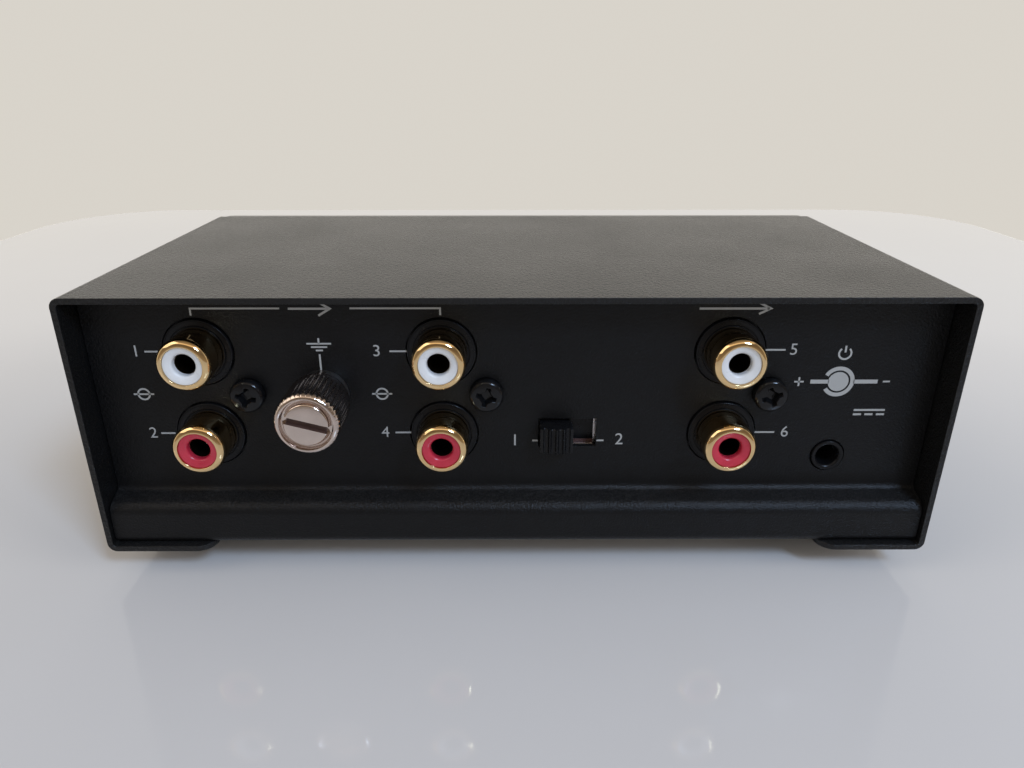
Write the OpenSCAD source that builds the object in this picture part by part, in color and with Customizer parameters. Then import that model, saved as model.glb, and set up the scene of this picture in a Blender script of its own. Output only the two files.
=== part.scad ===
// Small desktop phono preamp, seen and laid out from behind.
// Millimetres. +Z is up, +Y points out of the rear panel, the fascia is on the -Y side.
// The origin is under the middle of the whole part, on the surface that it stands on.

/* [Case] */
// Width over the cover's sides
case_w = 135; // [128:1:170]
// Depth of the cover from front edge to rear edge
case_d = 66.6; // [62:0.2:100]
// Height of the sheet metal case without its feet
case_h = 43.3; // [42:0.1:60]
// Thickness of the cover's sheet
cover_t = 0.95; // [0.8:0.05:1.5]
// Inside bend radius of the cover
cover_bend_r = 0.55; // [0.4:0.05:2]
// Width of the flanges that the cover turns in under the tray
flange_w = 17.3; // [16:0.1:30]
// Corner radius of those flanges, seen from below
flange_corner_r = 2.8; // [1:0.2:8]

/* [Chassis] */
// Thickness of the chassis sheet
tray_t = 1.0; // [0.8:0.1:1.5]
// Inside bend radius of the chassis
tray_bend_r = 0.5; // [0.4:0.1:1.2]
// Gap between the chassis and each side wall of the cover
tray_side_gap = 0.2; // [0.1:0.05:1]
// Gap between the top edges of the chassis and the cover
tray_top_gap = 0.4; // [0.2:0.1:1]
// How far the lip lies inside the cover's rear edge
lip_recess = 0.8; // [0.3:0.1:2.5]
// How far the rear panel lies inside the cover's rear edge
panel_recess = 4.8; // [4:0.1:7]
// Height of the lip above the underside of the tray, up to its bend
lip_h = 3.9; // [3:0.1:6]
// Steepness of the step between the lip and the rear panel
step_angle = 70; // [45:1:75]
// Inside radius of the two bends of that step
step_bend_r = 1.2; // [0.8:0.1:1.5]
// Height of the tray's side walls
side_wall_h = 8; // [5:0.5:12]

/* [Feet] */
// Height of a foot
foot_h = 4.6; // [3:0.1:8]
// Largest diameter of a foot
foot_d = 12; // [11:0.5:15]
// Distance from the side of the case to the middle of a foot
foot_side = 10.2; // [9:0.1:12]
// Distance from the front and rear edges of the cover to the middle of a foot
foot_end = 13; // [10:0.5:18]
// Thread diameter of the case screws
case_screw_d = 3; // [2.5:0.5:3]

/* [Fascia] */
// Thickness of the fascia
fascia_t = 4; // [3:0.5:6]
// How far the fascia's outline lies inside the cover's
fascia_inset = 0.3; // [0.1:0.1:1]
// Corner radius of the fascia, seen from the front
fascia_corner_r = 2.2; // [1.8:0.1:4]
// Radius of the fascia's front edge
fascia_edge_r = 1.2; // [0.5:0.1:2]
// Distance from the side of the case to the fascia screws
fascia_screw_side = 17.5; // [12:0.5:28]
// Distance from the top of the case down to the fascia screws
fascia_screw_drop = 12.2; // [10:0.2:16]
// Diameter of the power light
light_d = 3; // [2:0.5:4]
// Distance from the side of the case to the power light
light_side = 17.5; // [10:0.5:120]
// Height of the power light above the circuit board
light_h = 7; // [5:0.5:10]

/* [Sockets] */
// Distance from the left side of the case, seen from behind, to the first input block
input_1_side = 18.3; // [17:0.1:22]
// Distance between the two input blocks
input_pitch = 37.5; // [34:0.1:39]
// Distance from the right side of the case to the output block
output_side = 34.5; // [32:0.1:37]
// Distance from the top of the case down to the middle of the blocks
socket_drop = 16.9; // [16:0.1:18]
// Distance between the upper and the lower row
row_pitch = 13.9; // [13:0.1:14.5]
// Outside diameter of a socket's metal shell
shell_d = 8.04; // [7.9:0.02:8.3]
// Wall of the shell
shell_wall = 0.95; // [0.7:0.05:1.1]
// How far the shell stands out of the rear panel
shell_out = 6.5; // [5:0.1:9]
// Diameter of the hole for the plug's pin
pin_hole_d = 3.35; // [3.3:0.05:3.5]
// Diameter of the collar round the shell
collar_d = 10.3; // [10:0.1:11]
// How far the collar stands out of the panel
collar_out = 0.4; // [0.2:0.1:1]
// Width of the ring groove between the shell's seat and the collar's rim
collar_groove = 0.2; // [0.1:0.05:0.4]
// Width of a socket block's body
block_w = 10.8; // [10.6:0.2:12]
// Depth of a socket block's body behind the panel
block_d = 13; // [12:0.5:16]
// Distance from a block's middle to its fixing screw
ear_x = 6.9; // [6.8:0.1:8]
// Head diameter of the fixing screws
jack_screw_head_d = 5.4; // [4.5:0.1:5.6]

/* [Slide switch] */
// Distance from the second input block to the switch
switch_from_input = 19.85; // [19.7:0.05:21.5]
// Height of the switch above the circuit board
switch_h = 8.5; // [8:0.1:9.5]
// Width of the slot in the panel
slot_w = 9.3; // [9:0.1:10]
// Height of the slot in the panel
slot_h = 5; // [4.6:0.1:6]
// Travel of the knob
switch_travel = 3.7; // [3:0.1:4]
// Height of the knob
knob_h = 4.3; // [3:0.1:4.4]
// How far the middle of the knob stands out of the panel
knob_out = 4.2; // [3:0.1:6]
// Ribs on the knob's front
knob_ribs = 5; // [3:1:7]

/* [Power inlet] */
// Distance from the right side of the case to the inlet
inlet_side = 16.6; // [14.5:0.1:17.5]
// Height of the inlet above the circuit board
inlet_h = 4.35; // [3.9:0.05:5]
// Diameter of the inlet's bushing
inlet_bush_d = 5.2; // [5:0.1:6.2]
// Diameter of the hole for the plug
inlet_hole_d = 3.6; // [3.5:0.05:3.8]

/* [Ground terminal] */
// Diameter of the thumbscrew over its knurling
thumb_d = 9.7; // [8:0.1:11]
// Length of the thumbscrew's head
thumb_l = 8.6; // [6:0.1:11]
// Teeth of the knurling
thumb_teeth = 38; // [30:2:64]
// Diameter of the thumbscrew's thread
thumb_thread_d = 4; // [3.5:0.5:4]
// Turn of the screwdriver slot from level
thumb_slot_turn = 15; // [0:1:90]
// How far the fixed bush stands out of the panel
bush_out = 2.2; // [1.5:0.1:3]
// Thickness of the washer under the thumbscrew
thumb_washer_t = 1.0; // [0.6:0.1:1.5]

/* [Circuit board] */
// Thickness of the circuit board
board_t = 1.6; // [1:0.2:2]
// Height of the spacers under the board
spacer_h = 7.35; // [7:0.05:7.6]
// Gap between the board and the sheet metal round it
board_gap = 0.8; // [0.5:0.1:2]

/* [Hidden] */
$fn = 48;
touch = 0.01;            // overlap that joins shapes of one piece
fit = 0.05;              // radial clearance of a close fit
loose = 0.2;             // radial clearance of a screw in a plain hole

// Heights, from the surface the part stands on
tray_z = foot_h + cover_t;
board_z = tray_z + tray_t + spacer_h;
board_top = board_z + board_t;
case_top = foot_h + case_h;
inner_top = case_top - cover_t;
chassis_top = inner_top - tray_top_gap;
socket_z = case_top - socket_drop;
switch_z = board_top + switch_h;
inlet_z = board_top + inlet_h;
fascia_screw_z = case_top - fascia_screw_drop;
fascia_screw_x = case_w / 2 - fascia_screw_side;
light_z = board_top + light_h;

// Places across the case; the left as seen from behind is +X
input_1_x = case_w / 2 - input_1_side;
input_2_x = input_1_x - input_pitch;
output_x = -case_w / 2 + output_side;
switch_x = input_2_x - switch_from_input;
inlet_x = -case_w / 2 + inlet_side;
light_x = case_w / 2 - light_side;

// Depths: the fascia's front and the thumbscrew's face are equally far from the origin
thumb_reach = bush_out + thumb_washer_t + thumb_l;
total_d = fascia_t + case_d - panel_recess + thumb_reach;
case_y0 = fascia_t - total_d / 2;
case_y1 = case_y0 + case_d;
lip_y = case_y1 - lip_recess;
panel_y = case_y1 - panel_recess;
board_y0 = case_y0 + tray_t + board_gap;
board_y1 = panel_y - tray_t - board_gap;

// Widths
tray_w = case_w - 2 * (cover_t + tray_side_gap);
board_w = tray_w - 2 * (tray_t + board_gap);

// Sheet step: two equal bends and the ramp between them
step_depth = panel_recess - lip_recess;
bend_mid = 2 * step_bend_r + tray_t;
ramp_l = (step_depth - bend_mid * (1 - cos(step_angle))) / sin(step_angle);
step_h = bend_mid * sin(step_angle) + ramp_l * cos(step_angle);

// Sockets
blocks = [input_1_x, input_2_x, output_x];
shell_bore = shell_d - 2 * shell_wall;
shell_in = 5;            // depth of the shell in its housing
seat_rim = 0.23;         // the seat's edge that shows round the shell
groove_floor = 0.1;      // out from the panel
shell_lip_r = 0.45;
spigot_wall = 0.6;       // wall of the shell's stem inside the housing
insert_back = 0.5;       // insert's face behind the shell's rim
insert_lead = 0.4;
contact_wall = 0.45;
contact_front = 4.8;     // contact's front, out from the panel
contact_depth = 8.5;     // contact's blind end, in from the panel
tail_w = 1;
tail_t = 0.5;
ear_r = 3;
ear_t = 4;
block_gap = 1.65;        // between the top of a housing and the cover
block_top_h = inner_top - block_gap - socket_z;
jack_screw_d = 2.6;
jack_screw_l = 6;
jack_screw_head_h = 2.1;

// Slide switch
slot_end_gap = 0.2;
window_margin = 0.3;     // strip of the metal frame that shows at the slot's right end
frame_gap = 0.8;         // between the panel and the frame
frame_t = 0.5;
frame_depth = 6.5;
knob_w = slot_w - switch_travel - 2 * slot_end_gap;
window_w = slot_w - window_margin;
neck_w = window_w - switch_travel - 2 * slot_end_gap;
carrier_w = window_w + switch_travel + 1.2;
carrier_t = 2;
carrier_h = 4.4;
frame_w = carrier_w + switch_travel + 2 * (frame_t + slot_end_gap);
frame_h = 8.4;
base_t = 1.5;
pin_w = 0.8;
pin_t = 0.5;
pin_pitch = 2.5;         // between the two rows of pins
pin_row_y = -1;          // lower row, from the switch's middle
pin_reach = 1.5;         // lower row, back from the base

// Power inlet
inlet_w = inlet_bush_d + 1.6;
inlet_depth = 10;
inlet_back = 1.5;        // floor behind the blind hole
inlet_out = 0.3;
strip_w = 2;
strip_t = 0.4;
strip_top = 3;           // above the inlet's middle

// Ground terminal
bush_d = 8;
bush_thread_d = 6;
bush_in = 5;
bush_nut_t = 2;
bush_nut_d = 10;
tag_t = 0.5;
tag_w = 4;
tag_l = 9;
thread_end = 8;          // thumbscrew's thread end, in from the panel
thumb_z = socket_z;
thumb_x = (input_1_x + input_2_x) / 2;
disc_r = 0.315 * thumb_d;
groove_r = 0.405 * thumb_d;
slot_t = 0.8;

// Feet and their screws
foot_x = case_w / 2 - foot_side;
foot_y = [case_y0 + foot_end, case_y1 - foot_end];
head_d = 1.85 * case_screw_d;
head_h = 0.6 * case_screw_d;
nut_t = 2;
nut_d = 2 * case_screw_d;

// Board fixings
spacer_d = 2 * case_screw_d;
spacer_side = 18;        // from the board's side edges
spacer_front = 5;        // from the board's front edge
spacer_rear = 20;        // from the board's rear edge
spacer_x = board_w / 2 - spacer_side;
spacer_y = [board_y0 + spacer_front, board_y1 - spacer_rear];
board_screw_l = 4;

// Parts on the board, in rows from the front
part_gap = 4;            // between rows
can_d = 8;
can_h = 11;
can_count = 6;
film_w = 7.2;
film_d = 2.5;
film_h = 6.5;
film_count = 7;
chip_w = 9.8;
chip_d = 6.4;
chip_h = 3.4;
chip_lift = 0.6;
chip_legs = 4;
leg_pitch = 2.54;
leg_w = 0.5;
resistor_d = 2.4;
resistor_l = 6.2;
resistor_pitch = 5.5;
resistor_count = 10;
lead_d = 0.6;
lead_l = 1.5;
regulator_d = 4.8;
regulator_h = 4.6;
can_y = board_y0 + part_gap + can_d / 2;
film_y = can_y + can_d / 2 + part_gap;
chip_y = film_y + film_d + part_gap;
resistor_y = chip_y + chip_d + 2 * leg_w + part_gap;
cans_x = spacer_x - (head_d + can_d + part_gap) / 2;

// ---------------------------------------------------------------- helpers

// Puts its children on the rear panel as seen from behind: x right, y up, z out
module on_panel(x, z) translate([x, panel_y, z]) rotate([90, 0, 180]) children();

module mirrored_x() {
    children();
    mirror([1, 0, 0]) children();
}

module tube(d, bore, h) difference() {
    cylinder(d = d, h = h);
    translate([0, 0, -1]) cylinder(d = bore, h = h + 2);
}

module rounded_rect(w, h, r) {
    translate([-w / 2 + r, -h / 2]) square([w - 2 * r, h]);
    translate([-w / 2, -h / 2 + r]) square([w, h - 2 * r]);
    for (x = [-1, 1], y = [-1, 1]) translate([x * (w / 2 - r), y * (h / 2 - r)]) circle(r);
}

// Ring sector of a bend, from angle a0 to a1
module bend_2d(r, t, a0, a1) intersection() {
    difference() {
        circle(r + t);
        circle(r);
    }
    reach = 2 * (r + t);
    mid = (a0 + a1) / 2;
    polygon([[0, 0], reach * [cos(a0), sin(a0)], reach * [cos(mid), sin(mid)],
        reach * [cos(a1), sin(a1)]]);
}

// A bent sheet drawn as a path of [straight length, bend angle, inside radius of the bend],
// bend angles left positive. Its outer face runs along the path and its thickness lies on the left.
// Each bend is two sectors that overlap in the middle, one square to each straight.
module sheet_2d(path, t, i = 0) if (i < len(path)) {
    run = path[i][0];
    turn = path[i][1];
    r = path[i][2];
    square([run, t]);
    translate([run, 0]) {
        if (turn > 0) translate([0, t + r]) {
            bend_2d(r, t, -90, -90 + turn * 0.6);
            rotate(turn) {
                bend_2d(r, t, -90 - turn * 0.6, -90);
                translate([0, -t - r]) sheet_2d(path, t, i + 1);
            }
        }
        if (turn < 0) translate([0, -r]) {
            bend_2d(r, t, 90 + turn * 0.6, 90);
            rotate(turn) {
                bend_2d(r, t, 90, 90 - turn * 0.6);
                translate([0, r]) sheet_2d(path, t, i + 1);
            }
        }
        if (turn == 0) sheet_2d(path, t, i + 1);
    }
}

// A pan head screw: its head stands on z = 0 and its thread points down
module pan_screw(d, head_d, head_h, l) difference() {
    union() {
        translate([0, 0, -l]) cylinder(d = d, h = l + touch);
        rotate_extrude() {
            square([head_d / 2 - head_h / 2, head_h]);
            square([head_d / 2, head_h / 2]);
            translate([head_d / 2 - head_h / 2, head_h / 2]) circle(head_h / 2);
        }
    }
    for (a = [0, 90]) rotate(a)
        translate([-head_d * 0.28, -head_d * 0.06, head_h * 0.45])
            cube([head_d * 0.56, head_d * 0.12, head_h]);
}

// ---------------------------------------------------------------- case

// Cover: top, sides and the flanges under the tray, one bent sheet
module cover() color([0.13, 0.13, 0.13]) difference() {
    outer_r = cover_bend_r + cover_t;
    slot = case_w - 2 * flange_w;
    translate([0, case_y1, foot_h + case_h / 2]) rotate([90, 0, 0]) linear_extrude(case_d) difference() {
        rounded_rect(case_w, case_h, outer_r);
        rounded_rect(case_w - 2 * cover_t, case_h - 2 * cover_t, cover_bend_r);
        translate([-slot / 2, -case_h / 2 - 1]) square([slot, cover_t + 2]);
    }
    mirrored_x() for (end = [0, 1]) translate([slot / 2, end ? case_y1 : case_y0, foot_h - 1])
        mirror([0, end, 0]) difference() {
            translate([-1, -1, 0]) cube([flange_corner_r + 1, flange_corner_r + 1, cover_t + 2]);
            translate([flange_corner_r, flange_corner_r, -1]) cylinder(r = flange_corner_r, h = cover_t + 4);
        }
    foot_screw_holes();
}

module foot_screw_holes() mirrored_x() for (y = foot_y) translate([foot_x, y, foot_h - 1])
    cylinder(d = case_screw_d + 2 * loose, h = cover_t + tray_t + 2);

// Chassis: front flange, tray, lip, step and rear panel, one bent sheet with side walls
module chassis() color([0.16, 0.16, 0.17]) difference() {
    corner = tray_bend_r + tray_t;
    wall_y0 = case_y0 + corner + 2;
    wall_y1 = panel_y - corner - 1;
    wall = [[1, 90, tray_bend_r], [side_wall_h - corner, 0, 0]];
    union() {
        translate([-tray_w / 2, 0, 0]) rotate([90, 0, 90]) linear_extrude(tray_w)
            translate([case_y0, chassis_top]) rotate(-90) sheet_2d([
                [chassis_top - tray_z - corner, 90, tray_bend_r],
                [lip_y - case_y0 - 2 * corner, 90, tray_bend_r],
                [lip_h, step_angle, step_bend_r],
                [ramp_l, -step_angle, step_bend_r],
                [chassis_top - tray_z - corner - lip_h - step_h, 0, 0]
            ], tray_t);
        mirrored_x() translate([0, wall_y1, 0]) rotate([90, 0, 0]) linear_extrude(wall_y1 - wall_y0)
            translate([tray_w / 2 - corner - 1, tray_z]) sheet_2d(wall, tray_t);
    }
    // the tray's edge is cut back to the bend of the side walls, with a relief notch at each end
    mirrored_x() translate([tray_w / 2 - corner, wall_y0 - 1, tray_z - 1]) {
        difference() {
            cube([corner + 1, wall_y1 - wall_y0 + 2, tray_t + side_wall_h + 2]);
            translate([-1, 1, 0]) rotate([90, 0, 0]) mirror([0, 0, 1]) linear_extrude(wall_y1 - wall_y0)
                translate([0, 1]) sheet_2d(wall, tray_t);
        }
    }
    foot_screw_holes();
    rear_cutouts();
    front_cutouts();
    tray_corners();
}

// Bottom corners of the front flange and the lip, cleared for the cover's inner bend
module tray_corners() mirrored_x() {
    r = cover_bend_r + tray_side_gap;
    translate([tray_w / 2 - r, case_y0 - 1, tray_z + r]) rotate([-90, 0, 0]) difference() {
        cube([r + 1, r + 1, case_d + 2]);
        translate([0, 0, -1]) cylinder(r = r, h = case_d + 4);
    }
}

module rear_cutouts() {
    t = 2 * tray_t;
    for (x = blocks) on_panel(x, socket_z) translate([0, 0, -t]) {
        for (row = [-1, 1]) translate([0, row * row_pitch / 2, 0])
            cylinder(d = collar_d + 4 * loose, h = 2 * t);
        translate([ear_x, 0, 0]) cylinder(d = jack_screw_d + 2 * loose, h = 2 * t);
    }
    on_panel(thumb_x, thumb_z) translate([0, 0, -t]) cylinder(d = bush_thread_d + 2 * loose, h = 2 * t);
    on_panel(inlet_x, inlet_z) translate([0, 0, -t]) cylinder(d = inlet_bush_d + 2 * loose, h = 2 * t);
    on_panel(switch_x, switch_z) translate([-slot_w / 2, -slot_h / 2, -t]) cube([slot_w, slot_h, 2 * t]);
}

module front_cutouts() {
    for (x = [-1, 1]) translate([x * fascia_screw_x, case_y0 - 1, fascia_screw_z])
        rotate([-90, 0, 0]) cylinder(d = case_screw_d + 2 * loose, h = tray_t + 2);
    translate([light_x, case_y0 - 1, light_z]) rotate([-90, 0, 0])
        cylinder(d = light_d + 4 * loose, h = tray_t + 2);
}

// Fascia: a plate with a softened front edge and blind screw holes in its back
module front_panel() color([0.1, 0.1, 0.105]) difference() {
    w = case_w - 2 * fascia_inset;
    h = case_h - 2 * fascia_inset;
    r = fascia_corner_r;
    translate([0, case_y0, foot_h + case_h / 2]) rotate([90, 0, 0]) {
        linear_extrude(fascia_t - fascia_edge_r) rounded_rect(w, h, r);
        steps = 6;
        for (i = [0 : steps - 1]) {
            a0 = 90 * i / steps;
            a1 = 90 * (i + 1) / steps;
            inset = fascia_edge_r * (1 - cos(a1));
            z0 = fascia_t - fascia_edge_r + fascia_edge_r * sin(a0);
            translate([0, 0, z0 - touch]) linear_extrude(fascia_edge_r * (sin(a1) - sin(a0)) + touch)
                rounded_rect(w - 2 * inset, h - 2 * inset, r - inset * 0.9);
        }
    }
    for (x = [-1, 1]) translate([x * fascia_screw_x, case_y0 + 1, fascia_screw_z])
        rotate([90, 0, 0]) cylinder(d = case_screw_d + 2 * fit, h = fascia_t - 0.2);
    translate([light_x, case_y0 + 1, light_z]) rotate([90, 0, 0])
        cylinder(d = light_d + 2 * fit, h = fascia_t + 2);
}

module front_screws() color([0.6, 0.6, 0.6]) for (x = [-1, 1])
    translate([x * fascia_screw_x, case_y0 + tray_t, fascia_screw_z])
        rotate([-90, 0, 0]) pan_screw(case_screw_d, head_d, head_h, tray_t + fascia_t - 1.4);

// Power light: domed body in the fascia, leads down to the board
module power_light() color([0.55, 0.75, 0.95]) translate([light_x, case_y0, light_z]) {
    flange = 1;
    back = tray_t + 0.3;
    rotate([90, 0, 0]) {
        cylinder(d = light_d, h = fascia_t - light_d / 2 + touch);
        translate([0, 0, -back - flange]) cylinder(d = light_d + 0.6, h = flange);
        translate([0, 0, -back - touch]) cylinder(d = light_d, h = back + 2 * touch);
        translate([0, 0, fascia_t - light_d / 2]) difference() {
            sphere(d = light_d);
            translate([-light_d, -light_d, -2 * light_d]) cube(2 * light_d);
        }
    }
    for (x = [-1, 1]) translate([x * light_d * 0.3, back + flange - touch, 0]) {
        translate([-tail_t / 2, 0, -tail_t / 2]) cube([tail_t, 2, tail_t]);
        translate([-tail_t / 2, 2 - tail_t, -light_h]) cube([tail_t, tail_t, light_h]);
    }
}

// ---------------------------------------------------------------- sockets

// Housing of one stacked pair: body on the board, collars in the panel, ear for the screw
module jack_housing(block) color([0.05, 0.05, 0.055]) on_panel(blocks[block], socket_z) difference() {
    low = board_top - socket_z;
    back = -tray_t - block_d;
    union() {
        translate([-block_w / 2, low, back]) cube([block_w, block_top_h - low, block_d]);
        translate([0, 0, -tray_t - ear_t]) linear_extrude(ear_t) {
            translate([0, -ear_r]) square([ear_x, 2 * ear_r]);
            translate([ear_x, 0]) circle(ear_r);
        }
        for (row = [-1, 1]) translate([0, row * row_pitch / 2, -tray_t - touch])
            cylinder(d = collar_d, h = tray_t + touch + collar_out);
    }
    for (row = [-1, 1]) translate([0, row * row_pitch / 2, 0]) {
        translate([0, 0, groove_floor])
            tube(shell_d + 2 * (seat_rim + collar_groove), shell_d + 2 * seat_rim, collar_out + 1);
        translate([0, 0, -shell_in])
            cylinder(d = shell_bore + 2 * (spigot_wall + fit), h = shell_in + collar_out + 1);
        translate([0, 0, -contact_depth - 1])
            cylinder(d = pin_hole_d + 2 * contact_wall + 2 * fit, h = contact_depth);
    }
    for (row = [-1, 1]) tail_slot(row, low);
    translate([ear_x, 0, -tray_t - ear_t - 1]) cylinder(d = jack_screw_d + 2 * fit, h = ear_t + 2);
}

// Slot in the back of a housing for the tail of one row's contact
module tail_slot(row, low) {
    w = tail_w + 2 * loose;
    z = -contact_depth - 1 - tail_drop(row);
    translate([-w / 2, low - 1, z - loose]) cube([w, 1 + row * row_pitch / 2 - low + 1, tail_t + 2 * loose]);
    translate([-w / 2, row * row_pitch / 2 - w / 2, z]) cube([w, w, 2 + tail_drop(row)]);
}

// The upper row's tail runs down behind the lower row's
function tail_drop(row) = row > 0 ? 2.4 : 0.6;

// Socket shell: a barrel that stands on its seat in the collar, with a thinner stem in the housing
module shell(block, row) color([0.83, 0.68, 0.42])
    on_panel(blocks[block], socket_z + row * row_pitch / 2) rotate_extrude() {
        translate([shell_bore / 2, -shell_in]) square([spigot_wall, shell_in + collar_out + touch]);
        translate([shell_bore / 2, collar_out]) square([shell_wall, shell_out - shell_lip_r - collar_out]);
        translate([shell_bore / 2 + shell_lip_r, shell_out - shell_lip_r]) circle(shell_lip_r);
        translate([shell_d / 2 - shell_lip_r, shell_out - shell_lip_r]) circle(shell_lip_r);
        translate([shell_bore / 2 + shell_lip_r, shell_out - 2 * shell_lip_r])
            square([shell_wall - 2 * shell_lip_r, 2 * shell_lip_r]);
    }

module insert(block, row) color(row > 0 ? [0.9, 0.89, 0.87] : [0.75, 0.13, 0.2])
    on_panel(blocks[block], socket_z + row * row_pitch / 2) difference() {
        d = shell_bore - 2 * fit;
        front = shell_out - insert_back;
        translate([0, 0, -shell_in]) cylinder(d = d, h = shell_in + front);
        translate([0, 0, contact_front - 1]) cylinder(d = pin_hole_d, h = front);
        translate([0, 0, -shell_in - 1])
            cylinder(d = pin_hole_d + 2 * contact_wall + 2 * fit, h = shell_in + 1 + contact_front);
        translate([0, 0, front - insert_lead])
            cylinder(d1 = pin_hole_d, d2 = pin_hole_d + 4 * insert_lead, h = 2 * insert_lead);
    }

// Centre contact: a blind tube behind the insert's hole, with a tail down to the board
module contact(block, row) color([0.8, 0.7, 0.45])
    on_panel(blocks[block], socket_z + row * row_pitch / 2) {
        d = pin_hole_d + 2 * contact_wall;
        tail_z = -contact_depth - 1 - tail_drop(row);
        drop = socket_z + row * row_pitch / 2 - board_top;
        difference() {
            translate([0, 0, -contact_depth - 0.9])
                cylinder(d = d, h = contact_depth + 0.9 + contact_front);
            translate([0, 0, -contact_depth]) cylinder(d = pin_hole_d, h = contact_depth + contact_front + 1);
        }
        translate([-tail_w / 2, -tail_w / 2, tail_z]) cube([tail_w, tail_w, tail_drop(row) + 0.2]);
        translate([-tail_w / 2, -drop, tail_z]) cube([tail_w, drop, tail_t]);
    }

module jack_screws() color([0.08, 0.08, 0.08]) for (x = blocks) on_panel(x, socket_z)
    translate([ear_x, 0, 0]) pan_screw(jack_screw_d, jack_screw_head_d, jack_screw_head_h, jack_screw_l);

// ---------------------------------------------------------------- ground terminal

module ground_bush() color([0.75, 0.73, 0.7]) on_panel(thumb_x, thumb_z) difference() {
    union() {
        cylinder(d = bush_d, h = bush_out);
        translate([0, 0, -tray_t - bush_in]) cylinder(d = bush_thread_d, h = tray_t + bush_in + touch);
    }
    translate([0, 0, -tray_t - bush_in - 1]) cylinder(d = thumb_thread_d + 2 * fit, h = 20);
}

module ground_tag() color([0.75, 0.73, 0.7]) on_panel(thumb_x, thumb_z) {
    difference() {
        translate([0, 0, -tray_t - tag_t]) linear_extrude(tag_t) {
            circle(d = bush_d + 2);
            translate([-tag_w / 2, -tag_l]) square([tag_w, tag_l]);
        }
        translate([0, 0, -2 * tray_t - tag_t]) cylinder(d = bush_thread_d + 2 * fit, h = 4 * tray_t);
    }
    translate([-tag_w / 2, -tag_l, -tray_t - tag_w]) cube([tag_w, tag_t, tag_w - tag_t + touch]);
}

module ground_nut() color([0.75, 0.73, 0.7]) on_panel(thumb_x, thumb_z)
    translate([0, 0, -tray_t - tag_t - bush_nut_t]) difference() {
        cylinder(d = bush_nut_d, h = bush_nut_t, $fn = 6);
        translate([0, 0, -1]) cylinder(d = bush_thread_d + 2 * fit, h = bush_nut_t + 2);
    }

module ground_washer() color([0.78, 0.76, 0.73]) on_panel(thumb_x, thumb_z)
    translate([0, 0, bush_out]) tube(thumb_d - 0.8, thumb_thread_d + 4 * fit, thumb_washer_t);

// Thumbscrew: knurled head with a dished face, raised disc and screwdriver slot
module ground_thumbscrew() color([0.75, 0.7, 0.67]) on_panel(thumb_x, thumb_z)
    translate([0, 0, bush_out + thumb_washer_t]) {
        r = thumb_d / 2;
        difference() {
            intersection() {
                linear_extrude(thumb_l) knurled_outline(r, thumb_teeth, 0.28);
                rotate_extrude() thumb_profile(r);
            }
            rotate(-thumb_slot_turn) translate([-disc_r - 0.3, -slot_t / 2, thumb_l - 0.9])
                cube([2 * disc_r + 0.6, slot_t, 2]);
        }
        translate([0, 0, -bush_out - thumb_washer_t - thread_end])
            cylinder(d = thumb_thread_d, h = bush_out + thumb_washer_t + thread_end + touch);
    }

// Half section of the head: chamfered back, rounded rim, ring groove and disc
module thumb_profile(r) {
    rim = 0.9;
    dish = 0.75;
    polygon([
        [0, 0], [r - 0.6, 0], [r, 0.6], [r, thumb_l - rim], [r - 0.25, thumb_l - 0.4],
        [r - 0.62, thumb_l - 0.1], [groove_r + 0.1, thumb_l - 0.05], [groove_r, thumb_l - 0.14],
        [groove_r - 0.06, thumb_l - 0.5], [groove_r - 0.2, thumb_l - dish],
        [disc_r + 0.4, thumb_l - dish], [disc_r + 0.22, thumb_l - 0.5],
        [disc_r + 0.08, thumb_l - 0.14], [disc_r - 0.1, thumb_l], [0, thumb_l]
    ]);
}

module knurled_outline(r, teeth, depth) polygon([
    for (i = [0 : teeth - 1]) each let (a = 360 / teeth) [
        r * [cos(a * (i - 0.2)), sin(a * (i - 0.2))],
        r * [cos(a * (i + 0.2)), sin(a * (i + 0.2))],
        (r - depth) * [cos(a * (i + 0.5)), sin(a * (i + 0.5))]
    ]
]);

// ---------------------------------------------------------------- slide switch

// Folded metal frame behind the panel, its window a little narrower than the slot at one end
module switch_frame() color([0.78, 0.77, 0.74]) on_panel(switch_x, switch_z)
    translate([0, 0, -tray_t - frame_gap - frame_depth]) difference() {
        translate([-frame_w / 2, -frame_h / 2, 0]) cube([frame_w, frame_h, frame_depth]);
        translate([-frame_w / 2 + frame_t, -frame_h / 2 + frame_t, -1])
            cube([frame_w - 2 * frame_t, frame_h - 2 * frame_t, frame_depth + 1 - frame_t]);
        translate([-slot_w / 2, -slot_h / 2 - 0.3, 0]) cube([window_w, slot_h + 0.6, frame_depth + 1]);
    }

// Laminate base that closes the frame, with the ledge that the carrier slides on
module switch_base() color([0.35, 0.19, 0.13]) on_panel(switch_x, switch_z) {
    w = frame_w - 2 * frame_t - 2 * fit;
    h = frame_h - 2 * frame_t - 2 * fit;
    back = -tray_t - frame_gap - frame_depth;
    ledge_top = -carrier_h / 2 - 0.05;
    translate([-w / 2, -h / 2, back]) cube([w, h, base_t]);
    translate([-w / 2, -h / 2, back + base_t - touch])
        cube([w, ledge_top + h / 2, frame_depth - base_t - frame_t - fit + touch]);
}

// Knob and carrier at the end of their travel that lies on the left, seen from behind
module switch_knob() color([0.06, 0.06, 0.065]) on_panel(switch_x, switch_z)
    translate([-switch_travel / 2, 0, 0]) {
        front = -tray_t - frame_gap - frame_t - fit;
        translate([-carrier_w / 2, -carrier_h / 2, front - carrier_t])
            cube([carrier_w, carrier_h, carrier_t]);
        translate([-(neck_w + window_margin) / 2, -knob_h / 2, front - touch])
            cube([neck_w, knob_h, 1 - front]);
        translate([0, -knob_h / 2, 0.4]) rotate([-90, 0, 0]) mirror([0, 1, 0])
            linear_extrude(knob_h) knob_outline();
    }

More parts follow.
